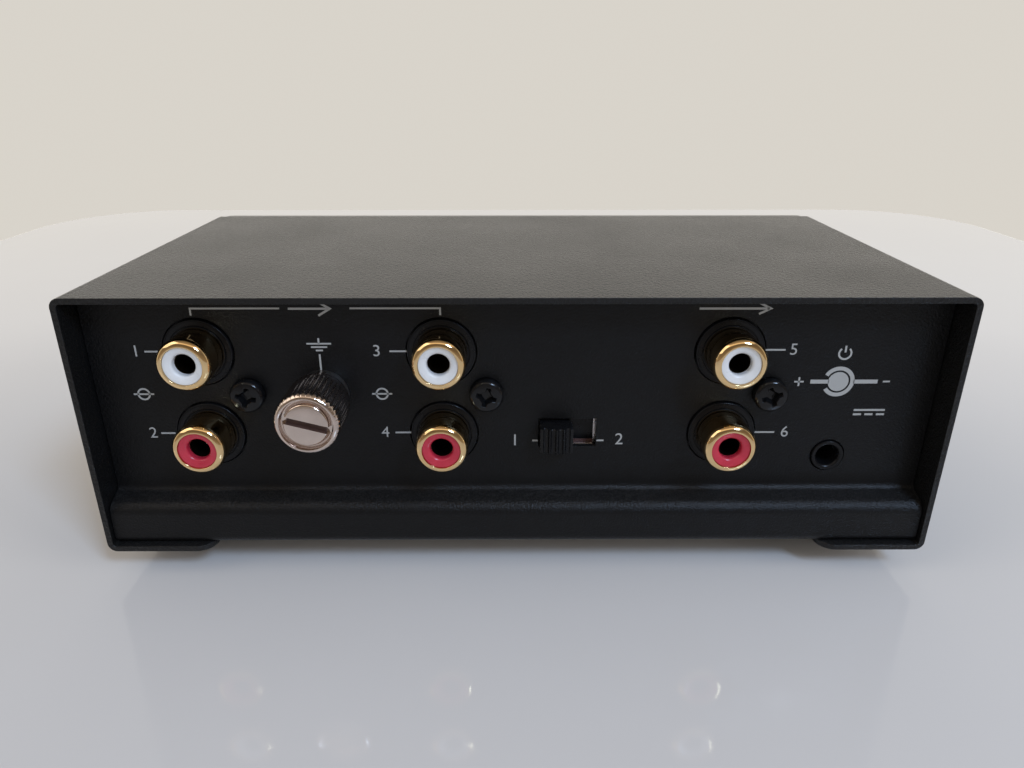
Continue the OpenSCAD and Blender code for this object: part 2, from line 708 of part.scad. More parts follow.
// Plan of the knob: bowed front with shallow grooves that leave the ribs
module knob_outline() {
    bow = 0.9;
    r = (knob_w * knob_w / 4 + bow * bow) / (2 * bow);
    pitch = knob_w / (knob_ribs - 0.4);
    difference() {
        intersection() {
            translate([-knob_w / 2, 0]) square([knob_w, knob_out]);
            translate([0, knob_out - 0.4 - r]) circle(r, $fn = 96);
        }
        for (i = [0.5 : 1 : knob_ribs - 1.5]) {
            x = (i - (knob_ribs - 1) / 2) * pitch;
            y = knob_out - 0.4 - r + sqrt(r * r - x * x);
            translate([x, y]) circle(d = pitch * 0.6, $fn = 24);
        }
    }
}

// Two rows of three pins, out of the base and down to the board
module switch_pins() color([0.8, 0.79, 0.76]) on_panel(switch_x, switch_z)
    for (x = [-1, 0, 1], row = [0, 1]) {
        y = pin_row_y + pin_pitch * row;
        reach = pin_reach + pin_pitch * row;
        drop = switch_z - board_top + y;
        translate([x * (switch_travel + 1) - pin_w / 2, 0, -tray_t - frame_gap - frame_depth - reach]) {
            translate([0, y - pin_t / 2, 0]) cube([pin_w, pin_t, reach]);
            translate([0, y - drop, 0]) cube([pin_w, drop, pin_t]);
        }
    }

// ---------------------------------------------------------------- power inlet

module power_inlet() color([0.05, 0.05, 0.055]) on_panel(inlet_x, inlet_z) {
    low = board_top - inlet_z;
    difference() {
        union() {
            translate([-inlet_w / 2, low, -tray_t - inlet_depth])
                cube([inlet_w, inlet_w / 2 + 0.6 - low, inlet_depth]);
            translate([0, 0, -tray_t - touch]) cylinder(d = inlet_bush_d, h = tray_t + inlet_out + touch);
        }
        translate([0, 0, -tray_t - inlet_depth + inlet_back])
            cylinder(d = inlet_hole_d, h = inlet_depth + tray_t + 1);
        cylinder(d1 = inlet_hole_d, d2 = inlet_hole_d + 2 * inlet_out, h = inlet_out + touch);
    }
}

// Contact strips of the inlet: one at the back and one at each side, down to the board
module inlet_contacts() color([0.8, 0.79, 0.76]) on_panel(inlet_x, inlet_z) {
    low = board_top - inlet_z;
    h = strip_top - low;
    translate([-strip_w / 2, low, -tray_t - inlet_depth - strip_t]) cube([strip_w, h, strip_t]);
    for (side = [-1, 1])
        translate([side * (inlet_w + strip_t) / 2 - strip_t / 2, low, -tray_t - 0.7 * inlet_depth])
            cube([strip_t, h, strip_w]);
}

// ---------------------------------------------------------------- circuit board

module main_board() color([0.1, 0.32, 0.18]) difference() {
    translate([-board_w / 2, board_y0, board_z]) cube([board_w, board_y1 - board_y0, board_t]);
    at_spacers() translate([0, 0, board_z - 1]) cylinder(d = case_screw_d + 2 * loose, h = board_t + 2);
}

module at_spacers() mirrored_x() for (y = spacer_y) translate([spacer_x, y, 0]) children();

module board_spacers() color([0.8, 0.72, 0.45]) at_spacers() translate([0, 0, tray_z + tray_t])
    difference() {
        cylinder(d = spacer_d, h = spacer_h, $fn = 6);
        translate([0, 0, 1]) cylinder(d = case_screw_d + 2 * fit, h = spacer_h);
    }

module board_screws() color([0.7, 0.7, 0.7]) at_spacers() translate([0, 0, board_top])
    pan_screw(case_screw_d, head_d, head_h, board_screw_l);

// n places in a row, evenly spread from -x to x
function spread(n, x) = [for (i = [0 : n - 1]) -x + 2 * x * i / (n - 1)];

// Eight-leg chips, each with the dimple that marks its first leg
module op_amps() color([0.07, 0.07, 0.07]) for (x = [input_2_x + can_d, output_x])
    translate([x, chip_y, board_top]) {
        translate([-chip_w / 2, leg_w, chip_lift]) difference() {
            cube([chip_w, chip_d, chip_h]);
            translate([0, chip_d / 2, chip_h - 0.4]) cylinder(d = chip_d / 4, h = 1);
        }
        for (i = [0 : chip_legs - 1], y = [0, chip_d + leg_w])
            translate([(i - (chip_legs - 1) / 2) * leg_pitch - leg_w / 2, y, 0])
                cube([leg_w, leg_w, chip_h * 0.65]);
    }

module electrolytic_capacitors() color([0.1, 0.1, 0.3]) for (x = spread(can_count, cans_x))
    translate([x, can_y, board_top]) rotate_extrude() {
        rim = can_d * 0.04;
        square([can_d / 2, can_h]);
        square([can_d / 2 - rim, can_h + rim]);
        translate([can_d / 2 - rim, can_h]) circle(rim);
    }

module film_capacitors() color([0.6, 0.1, 0.08]) for (x = spread(film_count, cans_x))
    translate([x - film_w / 2, film_y, board_top]) cube([film_w, film_d, film_h]);

// Axial resistors, their leads bent down to the board at both ends
module resistors() color([0.75, 0.65, 0.5])
    for (x = spread(resistor_count, resistor_pitch * (resistor_count - 1) / 2))
    translate([x, resistor_y + resistor_l + lead_l, board_top + resistor_d / 2]) rotate([90, 0, 0]) {
        cylinder(d = resistor_d, h = resistor_l);
        for (end = [0, 1]) translate([0, 0, end ? resistor_l : -lead_l]) {
            cylinder(d = lead_d, h = lead_l);
            translate([-lead_d / 2, -resistor_d / 2, end ? lead_l - lead_d : 0])
                cube([lead_d, resistor_d / 2 + lead_d / 2, lead_d]);
        }
    }

// Voltage regulators near the inlet: half-round bodies on three legs
module regulators() color([0.07, 0.07, 0.07]) for (i = [1, 2])
    translate([-board_w / 2 + 1.5 * i * regulator_d, chip_y + chip_d, board_top]) {
        lift = chip_lift + 1.4;
        translate([0, 0, lift]) intersection() {
            cylinder(d = regulator_d, h = regulator_h);
            translate([-regulator_d, -regulator_d / 3, 0]) cube(2 * regulator_d);
        }
        for (leg = [-1, 0, 1]) translate([leg * leg_pitch / 2 - leg_w / 2, 0, 0])
            cube([leg_w, leg_w, lift + touch]);
    }

// ---------------------------------------------------------------- feet

// Rubber foot with a recess for its screw
module feet() color([0.06, 0.06, 0.06]) mirrored_x() for (y = foot_y) translate([foot_x, y, 0])
    difference() {
        rotate_extrude() polygon([
            [0, 0], [foot_d / 2 - 1.3, 0], [foot_d / 2 - 0.6, 0.6], [foot_d / 2, foot_h], [0, foot_h]
        ]);
        translate([0, 0, -1]) cylinder(d = head_d + 2 * loose, h = 1 + foot_h / 2);
        cylinder(d = case_screw_d + 2 * loose, h = foot_h + 1);
    }

module foot_screws() color([0.6, 0.6, 0.6]) mirrored_x() for (y = foot_y)
    translate([foot_x, y, foot_h / 2]) rotate([180, 0, 0])
        pan_screw(case_screw_d, head_d, head_h, foot_h / 2 + cover_t + tray_t + nut_t - 0.3);

module clinch_nuts() color([0.7, 0.7, 0.7]) mirrored_x() for (y = foot_y)
    translate([foot_x, y, tray_z + tray_t]) tube(nut_d, case_screw_d + 2 * fit, nut_t);

// ---------------------------------------------------------------- nodes

cover();
chassis();
front_panel();
front_screws();
power_light();
jack_housing(0);  // jack_housing_input_1
jack_housing(1);  // jack_housing_input_2
jack_housing(2);  // jack_housing_output
shell(0, 1);  // shell_input_1_left
shell(0, -1);  // shell_input_1_right
shell(1, 1);  // shell_input_2_left
shell(1, -1);  // shell_input_2_right
shell(2, 1);  // shell_output_left
shell(2, -1);  // shell_output_right
insert(0, 1);  // insert_input_1_left
insert(0, -1);  // insert_input_1_right
insert(1, 1);  // insert_input_2_left
insert(1, -1);  // insert_input_2_right
insert(2, 1);  // insert_output_left
insert(2, -1);  // insert_output_right
contact(0, 1);  // contact_input_1_left
contact(0, -1);  // contact_input_1_right
contact(1, 1);  // contact_input_2_left
contact(1, -1);  // contact_input_2_right
contact(2, 1);  // contact_output_left
contact(2, -1);  // contact_output_right
jack_screws();
ground_bush();
ground_nut();
ground_tag();
ground_washer();
ground_thumbscrew();
switch_frame();
switch_base();
switch_knob();
switch_pins();
power_inlet();
inlet_contacts();
main_board();
board_spacers();
board_screws();
op_amps();
electrolytic_capacitors();
film_capacitors();
resistors();
regulators();
feet();
foot_screws();
clinch_nuts();
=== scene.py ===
# %% [markdown]
# # A phono preamp, seen from its socket side
# The case is two bent steel sheets with a black powder coat. Three blocks of stacked
# phono sockets, a ground thumbscrew, a slide switch and a power inlet look out of its
# recessed rear panel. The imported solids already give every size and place, so this
# lesson adds what solids lack: softened edges, cast and turned detail, printed marks and
# finishes that behave like the real ones under a soft light.

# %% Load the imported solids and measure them
import math

import bmesh
import bpy
from mathutils import Matrix, Vector


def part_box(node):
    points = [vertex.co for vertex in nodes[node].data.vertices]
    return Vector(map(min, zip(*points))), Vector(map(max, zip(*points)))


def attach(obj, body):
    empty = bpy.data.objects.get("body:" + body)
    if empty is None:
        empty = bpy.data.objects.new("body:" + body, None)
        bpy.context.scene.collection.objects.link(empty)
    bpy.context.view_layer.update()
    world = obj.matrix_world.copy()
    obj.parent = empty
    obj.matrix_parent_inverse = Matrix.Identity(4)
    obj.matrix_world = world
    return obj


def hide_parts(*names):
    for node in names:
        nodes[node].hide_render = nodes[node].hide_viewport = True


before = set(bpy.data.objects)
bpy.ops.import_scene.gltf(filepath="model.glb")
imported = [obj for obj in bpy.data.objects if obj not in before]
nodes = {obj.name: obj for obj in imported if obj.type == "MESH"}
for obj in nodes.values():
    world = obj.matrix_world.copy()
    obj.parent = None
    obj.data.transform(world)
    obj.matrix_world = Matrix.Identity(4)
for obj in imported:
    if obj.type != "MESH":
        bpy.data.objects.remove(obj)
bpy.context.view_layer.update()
MM = 0.001

# %% [markdown]
# ## Camera
# A camera can be placed by eye, or solved from edges whose real places are known. The long
# edges of the case are known here, so this one was solved: a short lens, close behind the
# preamp and looking down on it.

# %% Camera behind the preamp
CAMERA_PLACE, LOOKS_DOWN, LOOKS_ASIDE = (1.21, 135.41, 77.6), 22.57, 0.23
LENS, SENSOR, NEAREST, FARTHEST = 26.22, 36, 0.01, 50
camera = bpy.data.objects.new("camera", bpy.data.cameras.new("camera"))
camera.location = Vector(CAMERA_PLACE) * MM
camera.rotation_euler = (math.radians(90 - LOOKS_DOWN), 0, math.radians(180 - LOOKS_ASIDE))
camera.data.lens, camera.data.sensor_width = LENS, SENSOR
camera.data.clip_start, camera.data.clip_end = NEAREST, FARTHEST
bpy.context.scene.collection.objects.link(camera)
bpy.context.scene.camera = camera
bpy.context.scene.view_settings.view_transform = "Standard"
print("camera at", [round(c / MM, 1) for c in camera.location], "mm")

# %% [markdown]
# ## A small kit for shader nodes
# Shader trees can be wired by hand in the editor. In a script each wire is a line, so one
# helper adds a node, sets its options and either links or types each input. Effects that
# several finishes share become node groups with named sockets.

# %% Helpers that add nodes and groups
def node(tree, kind, inputs=None, **options):
    """Adds a shader node; an input is a number, a colour or another node's socket."""
    made = tree.nodes.new("ShaderNode" + kind)
    for option, value in options.items():
        setattr(made, option, value)
    for socket, value in (inputs or {}).items():
        if isinstance(value, bpy.types.NodeSocket):
            tree.links.new(value, made.inputs[socket])
        else:
            made.inputs[socket].default_value = value
    return made


def maths(tree, operation, a, b=0.0):
    """One Math node, clamped to nothing, as a socket."""
    return node(tree, "Math", {0: a, 1: b}, operation=operation).outputs[0]


def group(name, inputs, outputs):
    """An empty node group with float or vector inputs; returns its tree and both ends."""
    tree = bpy.data.node_groups.new(name, "ShaderNodeTree")
    for label, value in inputs.items():
        kind = "NodeSocketFloat" if isinstance(value, (int, float)) else "NodeSocketVector"
        socket = tree.interface.new_socket(name=label, in_out="INPUT", socket_type=kind)
        socket.default_value = value
    for label, kind in outputs.items():
        tree.interface.new_socket(name=label, in_out="OUTPUT", socket_type="NodeSocket" + kind)
    return tree, tree.nodes.new("NodeGroupInput").outputs, tree.nodes.new("NodeGroupOutput").inputs


def placed(tree, shared, **values):
    """Puts a shared group into a material with that material's own values."""
    made = tree.nodes.new("ShaderNodeGroup")
    made.node_tree = shared
    for label, value in values.items():
        socket = made.inputs[label.replace("_", " ")]
        if isinstance(value, bpy.types.NodeSocket):
            tree.links.new(value, socket)
        else:
            socket.default_value = value
    return made.outputs


def mixed(tree, factor, a, b):
    """Two colours mixed by a mask, as a socket; a Mix node keeps its colours on sockets 6 and 7."""
    made = tree.nodes.new("ShaderNodeMix")
    made.data_type = "RGBA"
    for socket, value in ((made.inputs[0], factor), (made.inputs[6], a), (made.inputs[7], b)):
        if isinstance(value, bpy.types.NodeSocket):
            tree.links.new(value, socket)
        else:
            socket.default_value = value
    return made.outputs[2]


print("node helpers ready")

# %% [markdown]
# ## Shared surface effects
# Powder coat, moulded plastic and rubber differ mostly in the size and depth of their
# grain. Plated metal shows hair-fine rub marks, turned metal shows rings. Corners of a
# painted case rub shiny, and edges also get a lighter tone as a painted highlight along
# them; dust settles on what faces up. Each of these is built once here, and reused with
# other numbers.

# %% Noise, ranges and bumps that the effects share
def noise(tree, size, detail, roughness, place=None):
    """Noise with features of a size in mm, in the object's own place, as a socket."""
    place = node(tree, "TexCoord").outputs["Object"] if place is None else place
    scale = maths(tree, "DIVIDE", 1 / MM, size)
    return node(tree, "TexNoise", {"Vector": place, "Scale": scale, "Detail": detail,
                                   "Roughness": roughness}).outputs[0]


def spread(tree, value, start, end, low=0.0, high=1.0):
    """A value stretched from start and end to low and high, as a socket."""
    return node(tree, "MapRange", {"Value": value, "From Min": start, "From Max": end,
                                   "To Min": low, "To Max": high}).outputs[0]


def bumped(tree, height, depth):
    """The normal of a surface with a height map that is depth mm deep, as a socket."""
    return node(tree, "Bump", {"Strength": 1.0, "Distance": maths(tree, "MULTIPLY", depth, MM),
                               "Height": height}).outputs[0]


print("effect helpers ready")

# %% Grain: pebbles of a given size, as a normal and a mask
grain, given, result = group("Grain", {"Size": 0.2, "Depth": 0.02}, {"Normal": "Vector", "Mask": "Float"})
pebbles = noise(grain, given["Size"], 3.0, 0.6)
grain.links.new(bumped(grain, pebbles, given["Depth"]), result["Normal"])
grain.links.new(pebbles, result["Mask"])
print("grain group:", len(grain.nodes), "nodes")

# %% Clouds: slow changes of tone, such as uneven coating or handling
clouds, given, result = group("Clouds", {"Size": 20.0}, {"Mask": "Float"})
drift = noise(clouds, given["Size"], 4.0, 0.55)
clouds.links.new(spread(clouds, drift, 0.3, 0.7), result["Mask"])
print("clouds group:", len(clouds.nodes), "nodes")

# %% Edge rub and glint: where a rounded normal leaves the true one, a mask for rubbing and for a painted highlight along edges
edge_wear_and_glint, given, result = group("Edge wear", {"Radius": 0.3, "Breakup": 3.0}, {"Mask": "Float"})
# Finishes mix a lighter edge tone in by this mask. It is partly rubbing and partly a painted highlight along
# the edges.
rounded = node(edge_wear_and_glint, "Bevel", {"Radius": maths(edge_wear_and_glint, "MULTIPLY", given["Radius"], MM)}, samples=6)
truth = node(edge_wear_and_glint, "NewGeometry").outputs["Normal"]
agree = node(edge_wear_and_glint, "VectorMath", {0: rounded.outputs[0], 1: truth}, operation="DOT_PRODUCT").outputs["Value"]
corner = spread(edge_wear_and_glint, agree, 0.995, 0.85)
patchy = spread(edge_wear_and_glint, noise(edge_wear_and_glint, given["Breakup"], 5.0, 0.7), 0.42, 0.6)
edge_wear_and_glint.links.new(maths(edge_wear_and_glint, "MULTIPLY", corner, patchy), result["Mask"])
print("edge rub and glint group:", len(edge_wear_and_glint.nodes), "nodes")

# %% Dust: fine specks that lie on what faces up
dust, given, result = group("Dust", {"Amount": 0.1, "Speck": 0.5}, {"Mask": "Float"})
up = node(dust, "SeparateXYZ", {0: node(dust, "NewGeometry").outputs["Normal"]}).outputs["Z"]
lying = spread(dust, up, 0.3, 0.95)
specks = spread(dust, noise(dust, given["Speck"], 6.0, 0.75), 0.45, 0.75)
settled = maths(dust, "MULTIPLY", lying, specks)
dust.links.new(maths(dust, "MULTIPLY", settled, given["Amount"]), result["Mask"])
print("dust group:", len(dust.nodes), "nodes")

# %% Rub marks: hair-fine scratches in two directions
rub, given, result = group("Rub marks", {"Length": 4.0, "Depth": 0.002},
                           {"Normal": "Vector", "Mask": "Float"})
place = node(rub, "TexCoord").outputs["Object"]
RUB_TURNS, TILT, STRETCH = (0.4, -1.1), 0.7, 24.0
streaks = []
for turn in RUB_TURNS:
    laid = node(rub, "Mapping", {"Vector": place, "Rotation": (turn, turn * TILT, turn),
                                 "Scale": (1.0, STRETCH, STRETCH)}).outputs[0]
    streaks.append(noise(rub, given["Length"], 4.0, 0.6, laid))
marks = maths(rub, "MAXIMUM", *streaks)
rub.links.new(bumped(rub, marks, given["Depth"]), result["Normal"])
rub.links.new(marks, result["Mask"])
print("rub marks group:", len(rub.nodes), "nodes")

# %% Turned rings: the lathe's tool marks round an axis along Y
turned, given, result = group("Turned rings", {"Centre": (0.0, 0.0, 0.0), "Pitch": 0.12, "Depth": 0.002},
                              {"Normal": "Vector"})
place = node(turned, "TexCoord").outputs["Object"]
offset = node(turned, "VectorMath", {0: place, 1: given["Centre"]}, operation="SUBTRACT").outputs[0]
flat = node(turned, "VectorMath", {0: offset, 1: (1.0, 0.0, 1.0)}, operation="MULTIPLY").outputs[0]
radius = node(turned, "VectorMath", {0: flat}, operation="LENGTH").outputs["Value"]
turns = maths(turned, "DIVIDE", maths(turned, "DIVIDE", radius, MM), given["Pitch"])
uneven = node(turned, "TexNoise", {"W": turns, "Scale": 0.7, "Detail": 3.0}, noise_dimensions="1D").outputs[0]
ring = maths(turned, "SINE", maths(turned, "MULTIPLY", turns, math.tau))
height = maths(turned, "ADD", maths(turned, "MULTIPLY", ring, 0.25), uneven)
turned.links.new(bumped(turned, height, given["Depth"]), result["Normal"])
print("turned rings group:", len(turned.nodes), "nodes")

# %% [markdown]
# ## Finishes
# Every finish is one Principled shader, which keeps what is the same all over on its own
# sockets. Only what changes over the surface is wired: two tones mixed by a mask, a
# roughness that drifts, and a normal from the grain. A lighter edge tone, which is partly
# rubbing and partly a painted highlight along edges, and dust are two more mixes.

# %% One recipe for every finish
DUST_TONE = (0.45, 0.44, 0.42)


def finish(name, dark, light, rough, mask, normal=None, edge=None, dusty=None, **constant):
    """A material between two tones and two roughnesses, with optional grain, a lighter edge tone (rubbing and
    a painted highlight along edges) and dust.
    """
    material = bpy.data.materials.new(name)
    material.use_nodes = True
    tree = material.node_tree
    shader = tree.nodes["Principled BSDF"]
    for socket, value in constant.items():
        shader.inputs[socket.replace("_", " ")].default_value = value
    tones = placed(tree, bpy.data.node_groups[mask[0]], **mask[1])["Mask"]
    colour = mixed(tree, tones, (*dark, 1.0), (*light, 1.0))
    gloss = spread(tree, tones, 0.0, 1.0, *rough)
    # The edge tone is lighter than the surface: partly rubbing, partly a painted highlight along edges.
    if edge:
        edge_rub_and_glint = placed(tree, edge_wear_and_glint, Radius=edge["radius"], Breakup=edge["breakup"])["Mask"]
        colour = mixed(tree, edge_rub_and_glint, colour, (*edge["tone"], 1.0))
        gloss = spread(tree, edge_rub_and_glint, 0.0, 1.0, gloss, edge["rough"])
    if dusty:
        settled = placed(tree, dust, Amount=dusty["amount"], Speck=dusty["speck"])["Mask"]
        colour = mixed(tree, settled, colour, (*DUST_TONE, 1.0))
    tree.links.new(colour, shader.inputs["Base Color"])
    tree.links.new(gloss, shader.inputs["Roughness"])
    if normal:
        made = placed(tree, bpy.data.node_groups[normal[0]], **normal[1])
        tree.links.new(made["Normal"], shader.inputs["Normal"])
    print("finish", name, "with", len(tree.nodes), "nodes")
    return material


print("recipe ready")

# %% Short names for the masks and normals that a finish asks for
def cloudy(size):
    """Clouds of a size in mm, for a mask."""
    return "Clouds", {"Size": size}


def grainy(size, depth):
    """Grain of a size and depth in mm, for a normal or a mask."""
    return "Grain", {"Size": size, "Depth": depth}


def scratched(length, depth):
    """Rub marks of a length and depth in mm, for a normal or a mask."""
    return "Rub marks", {"Length": length, "Depth": depth}


print("short names ready")

# %% [markdown]
# Powder coat is sprayed as a dry powder and baked, so it is a fairly thick plastic skin
# with a fine orange-peel grain. It is nearly black, yet looks grey where it mirrors a pale
# wall at a low angle, so its colour stays very dark and the reflection does the rest.

# %% Painted finishes
# The edge tones here are painted highlights along the sheet edges, as well as rubbing.
coat_case = finish("powder_coat", (0.0042, 0.0042, 0.0044), (0.0054, 0.0054, 0.0055), (0.3, 0.36),
                   cloudy(25.0), normal=grainy(0.48, 0.22),
                   edge={"radius": 0.35, "breakup": 5.0, "tone": (0.012, 0.012, 0.0125), "rough": 0.26},
                   dusty={"amount": 0.05, "speck": 0.35}, IOR=1.5, Specular_IOR_Level=0.33)
coat_tray = finish("powder_coat_tray", (0.003, 0.003, 0.0033), (0.004, 0.004, 0.0042), (0.3, 0.35),
                   cloudy(18.0), normal=grainy(0.32, 0.13),
                   edge={"radius": 0.3, "breakup": 4.0, "tone": (0.01, 0.01, 0.0105), "rough": 0.24},
                   dusty={"amount": 0.05, "speck": 0.3}, IOR=1.5, Specular_IOR_Level=0.21)
coat_fascia = finish("fascia_coat", (0.005, 0.005, 0.0053), (0.0065, 0.0065, 0.0068), (0.26, 0.32),
                     cloudy(30.0), normal=grainy(0.12, 0.006),
                     edge={"radius": 0.3, "breakup": 6.0, "tone": (0.03, 0.03, 0.031), "rough": 0.25},
                     IOR=1.5)
print_ink = finish("print_ink", (0.255, 0.255, 0.248), (0.3, 0.3, 0.293), (0.45, 0.55), grainy(0.15, 0.004),
                   normal=grainy(0.1, 0.004), IOR=1.45)

# %% [markdown]
# The sockets' shells are thinly gold plated over brass. Pale gold has a warm mirror and no
# diffuse light at all, so Metallic is 1 and the colour is the mirror's tint. Faint rub marks
# come from plugs that were pushed on.

# %% Metal finishes
gold = finish("gold_plate", (0.84, 0.59, 0.29), (0.9, 0.67, 0.37), (0.06, 0.11), cloudy(3.0),
              normal=scratched(5.0, 0.0012), Metallic=1.0)
# The contacts are gold, but their colour is made very dark as painted shade deep in the socket holes.
contact_in_painted_shade = finish("contact_in_painted_shade", (0.07, 0.045, 0.025), (0.11, 0.075, 0.042), (0.3, 0.4), cloudy(2.0),
                      normal=scratched(3.0, 0.003), Metallic=1.0)
low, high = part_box("ground_thumbscrew")
thumb_centre = (low + high) / 2
# The lighter edge tone is a painted highlight on the knurl and rims, as well as rubbing.
nickel = finish("nickel_plate", (0.58, 0.49, 0.44), (0.68, 0.58, 0.52), (0.1, 0.16), cloudy(4.0),
                normal=("Turned rings", {"Centre": tuple(thumb_centre), "Pitch": 0.14, "Depth": 0.002}),
                edge={"radius": 0.1, "breakup": 1.0, "tone": (0.75, 0.68, 0.62), "rough": 0.12}, Metallic=1.0)
nickel_plain = finish("nickel_plain", (0.5, 0.47, 0.44), (0.6, 0.57, 0.54), (0.25, 0.35), cloudy(3.0),
                      normal=scratched(3.0, 0.003), Metallic=1.0)
# The lighter edge tone is a painted highlight round the heads' rims, as well as rubbing.
black_screw = finish("black_oxide", (0.003, 0.003, 0.0035), (0.006, 0.006, 0.0065), (0.13, 0.2), cloudy(1.2),
                     normal=grainy(0.3, 0.006), IOR=1.5,
                     edge={"radius": 0.08, "breakup": 0.7, "tone": (0.02, 0.02, 0.021), "rough": 0.2},
                     Specular_IOR_Level=0.3)
zinc = finish("zinc_steel", (0.42, 0.43, 0.45), (0.58, 0.59, 0.6), (0.28, 0.42), cloudy(1.5),
              normal=scratched(3.0, 0.004), Metallic=1.0)
bright_steel = finish("bright_steel", (0.78, 0.72, 0.71), (0.88, 0.83, 0.81), (0.22, 0.34), cloudy(2.0),
                      normal=scratched(2.0, 0.003), Metallic=1.0)
# This dark brown is partly bared metal and partly painted shade inside the slot.
worn_slot_and_shade = finish("worn_slot_and_shade", (0.05, 0.026, 0.02), (0.072, 0.038, 0.029), (0.4, 0.55), cloudy(1.5),
                   normal=scratched(2.0, 0.004), IOR=1.5)
brass = finish("brass", (0.6, 0.42, 0.17), (0.72, 0.53, 0.25), (0.25, 0.4), cloudy(2.0),
               normal=scratched(4.0, 0.003), Metallic=1.0)
tin = finish("tinned_wire", (0.5, 0.5, 0.5), (0.66, 0.66, 0.65), (0.3, 0.45), cloudy(1.0),
             normal=grainy(0.3, 0.01), Metallic=1.0)

# %% [markdown]
# Moulded plastics: black housings with a satin skin, and the coloured rings that tell the
# left channel from the right. Rubber for the feet is duller and has a coarser grain.

# %% Plastic, rubber and glass-like finishes
moulded = {"normal": grainy(0.16, 0.006), "IOR": 1.5, "Specular_IOR_Level": 0.2}
housing_black = finish("housing_plastic", (0.0035, 0.0035, 0.004), (0.005, 0.005, 0.0055), (0.24, 0.32),
                       cloudy(4.0), **moulded)
# The lighter edge tone is a painted highlight along the knob's ribs and edges, as well as rubbing.
knob_black = finish("knob_plastic", (0.0035, 0.0035, 0.004), (0.0055, 0.0055, 0.006), (0.24, 0.32),
                    cloudy(2.0), normal=grainy(0.12, 0.008),
                    edge={"radius": 0.08, "breakup": 0.8, "tone": (0.012, 0.0125, 0.0135), "rough": 0.22},
                    IOR=1.5, Specular_IOR_Level=0.2)
white_ring = finish("white_insert", (0.5, 0.505, 0.51), (0.56, 0.565, 0.57), (0.26, 0.36), cloudy(2.5),
                    normal=grainy(0.4, 0.004), IOR=1.48)
red_ring = finish("red_insert", (0.34, 0.016, 0.034), (0.42, 0.026, 0.048), (0.2, 0.28), cloudy(2.5),
                  normal=grainy(0.4, 0.004), IOR=1.5)
foot_rubber = finish("foot_rubber", (0.011, 0.011, 0.011), (0.02, 0.02, 0.02), (0.65, 0.8), cloudy(3.0),
                     normal=grainy(0.3, 0.03), dusty={"amount": 0.25, "speck": 0.4}, IOR=1.5)
light_lens = finish("light_lens", (0.42, 0.55, 0.66), (0.5, 0.63, 0.74), (0.08, 0.14), cloudy(1.0),
                    normal=grainy(1.0, 0.003), IOR=1.5, Coat_Weight=0.6)
laminate = finish("laminate", (0.05, 0.019, 0.015), (0.085, 0.034, 0.026), (0.4, 0.55), scratched(3.0, 0.003),
                  normal=scratched(2.0, 0.006), IOR=1.5)

# %% [markdown]
# The parts inside never show while the cover is on. They still get their own finishes, so
# that the assembly stays readable for whoever takes the cover off.

# %% Finishes of the parts inside
board_green = finish("board_mask", (0.012, 0.085, 0.035), (0.02, 0.125, 0.055), (0.22, 0.34), cloudy(6.0),
                     normal=grainy(0.5, 0.01), IOR=1.5)
chip_black = finish("chip_resin", (0.012, 0.012, 0.013), (0.022, 0.022, 0.023), (0.5, 0.65), cloudy(1.0),
                    normal=grainy(0.12, 0.012), IOR=1.5)
can_sleeve = finish("capacitor_sleeve", (0.008, 0.01, 0.03), (0.014, 0.018, 0.045), (0.25, 0.35), cloudy(3.0),
                    normal=grainy(0.8, 0.01), IOR=1.5)
film_red = finish("film_resin", (0.32, 0.035, 0.02), (0.42, 0.055, 0.03), (0.2, 0.32), cloudy(2.0),
                  normal=grainy(0.6, 0.02), IOR=1.5)
resistor_tan = finish("resistor_body", (0.4, 0.3, 0.17), (0.5, 0.39, 0.24), (0.35, 0.5), cloudy(1.5),
                      normal=grainy(0.3, 0.012), IOR=1.5)

# %% Give every solid its finish
FINISHES = {
    "cover": coat_case, "chassis": coat_tray, "front_panel": coat_fascia, "front_screws": zinc,
    "power_light": light_lens, "jack_screws": black_screw, "ground_bush": nickel_plain,
    "ground_nut": nickel_plain, "ground_tag": tin, "ground_washer": nickel, "ground_thumbscrew": nickel,
    "switch_frame": bright_steel, "switch_base": laminate, "switch_knob": knob_black, "switch_pins": tin,
    "power_inlet": housing_black, "inlet_contacts": tin, "main_board": board_green,
    "board_spacers": brass, "board_screws": zinc, "op_amps": chip_black,
    "electrolytic_capacitors": can_sleeve, "film_capacitors": film_red, "resistors": resistor_tan,
    "regulators": chip_black, "feet": foot_rubber, "foot_screws": zinc, "clinch_nuts": zinc,
}
BY_START = {"jack_housing": housing_black, "shell": gold, "contact": contact_in_painted_shade}


def insert_finish(name):
    """White tells the left channel's insert, red the right one's."""
    return white_ring if name.endswith("left") else red_ring


for name, solid in nodes.items():
    start = next((s for s in BY_START if name.startswith(s)), None)
    solid.data.materials[0] = FINISHES.get(name) or BY_START.get(start) or insert_finish(name)
print("finishes given to", len(nodes), "solids")

# %% [markdown]
# ## Softened edges
# Sheared sheet and moulded plastic never have knife edges: the coat flows round them, and
# they catch a thin line of light. The solids stay as they are, and modifiers do the
# softening: weld the split corners, merge flat faces, bevel what turns sharply, and weight
# the normals so that flat faces stay flat.

# %% Bevel the visible edges of the solids
WELD_GAP, FLAT_WITHIN, SHARP_FROM, BEVEL_STEPS, FLAT_WEIGHT = 0.0005, 0.3, 28, 3, 80


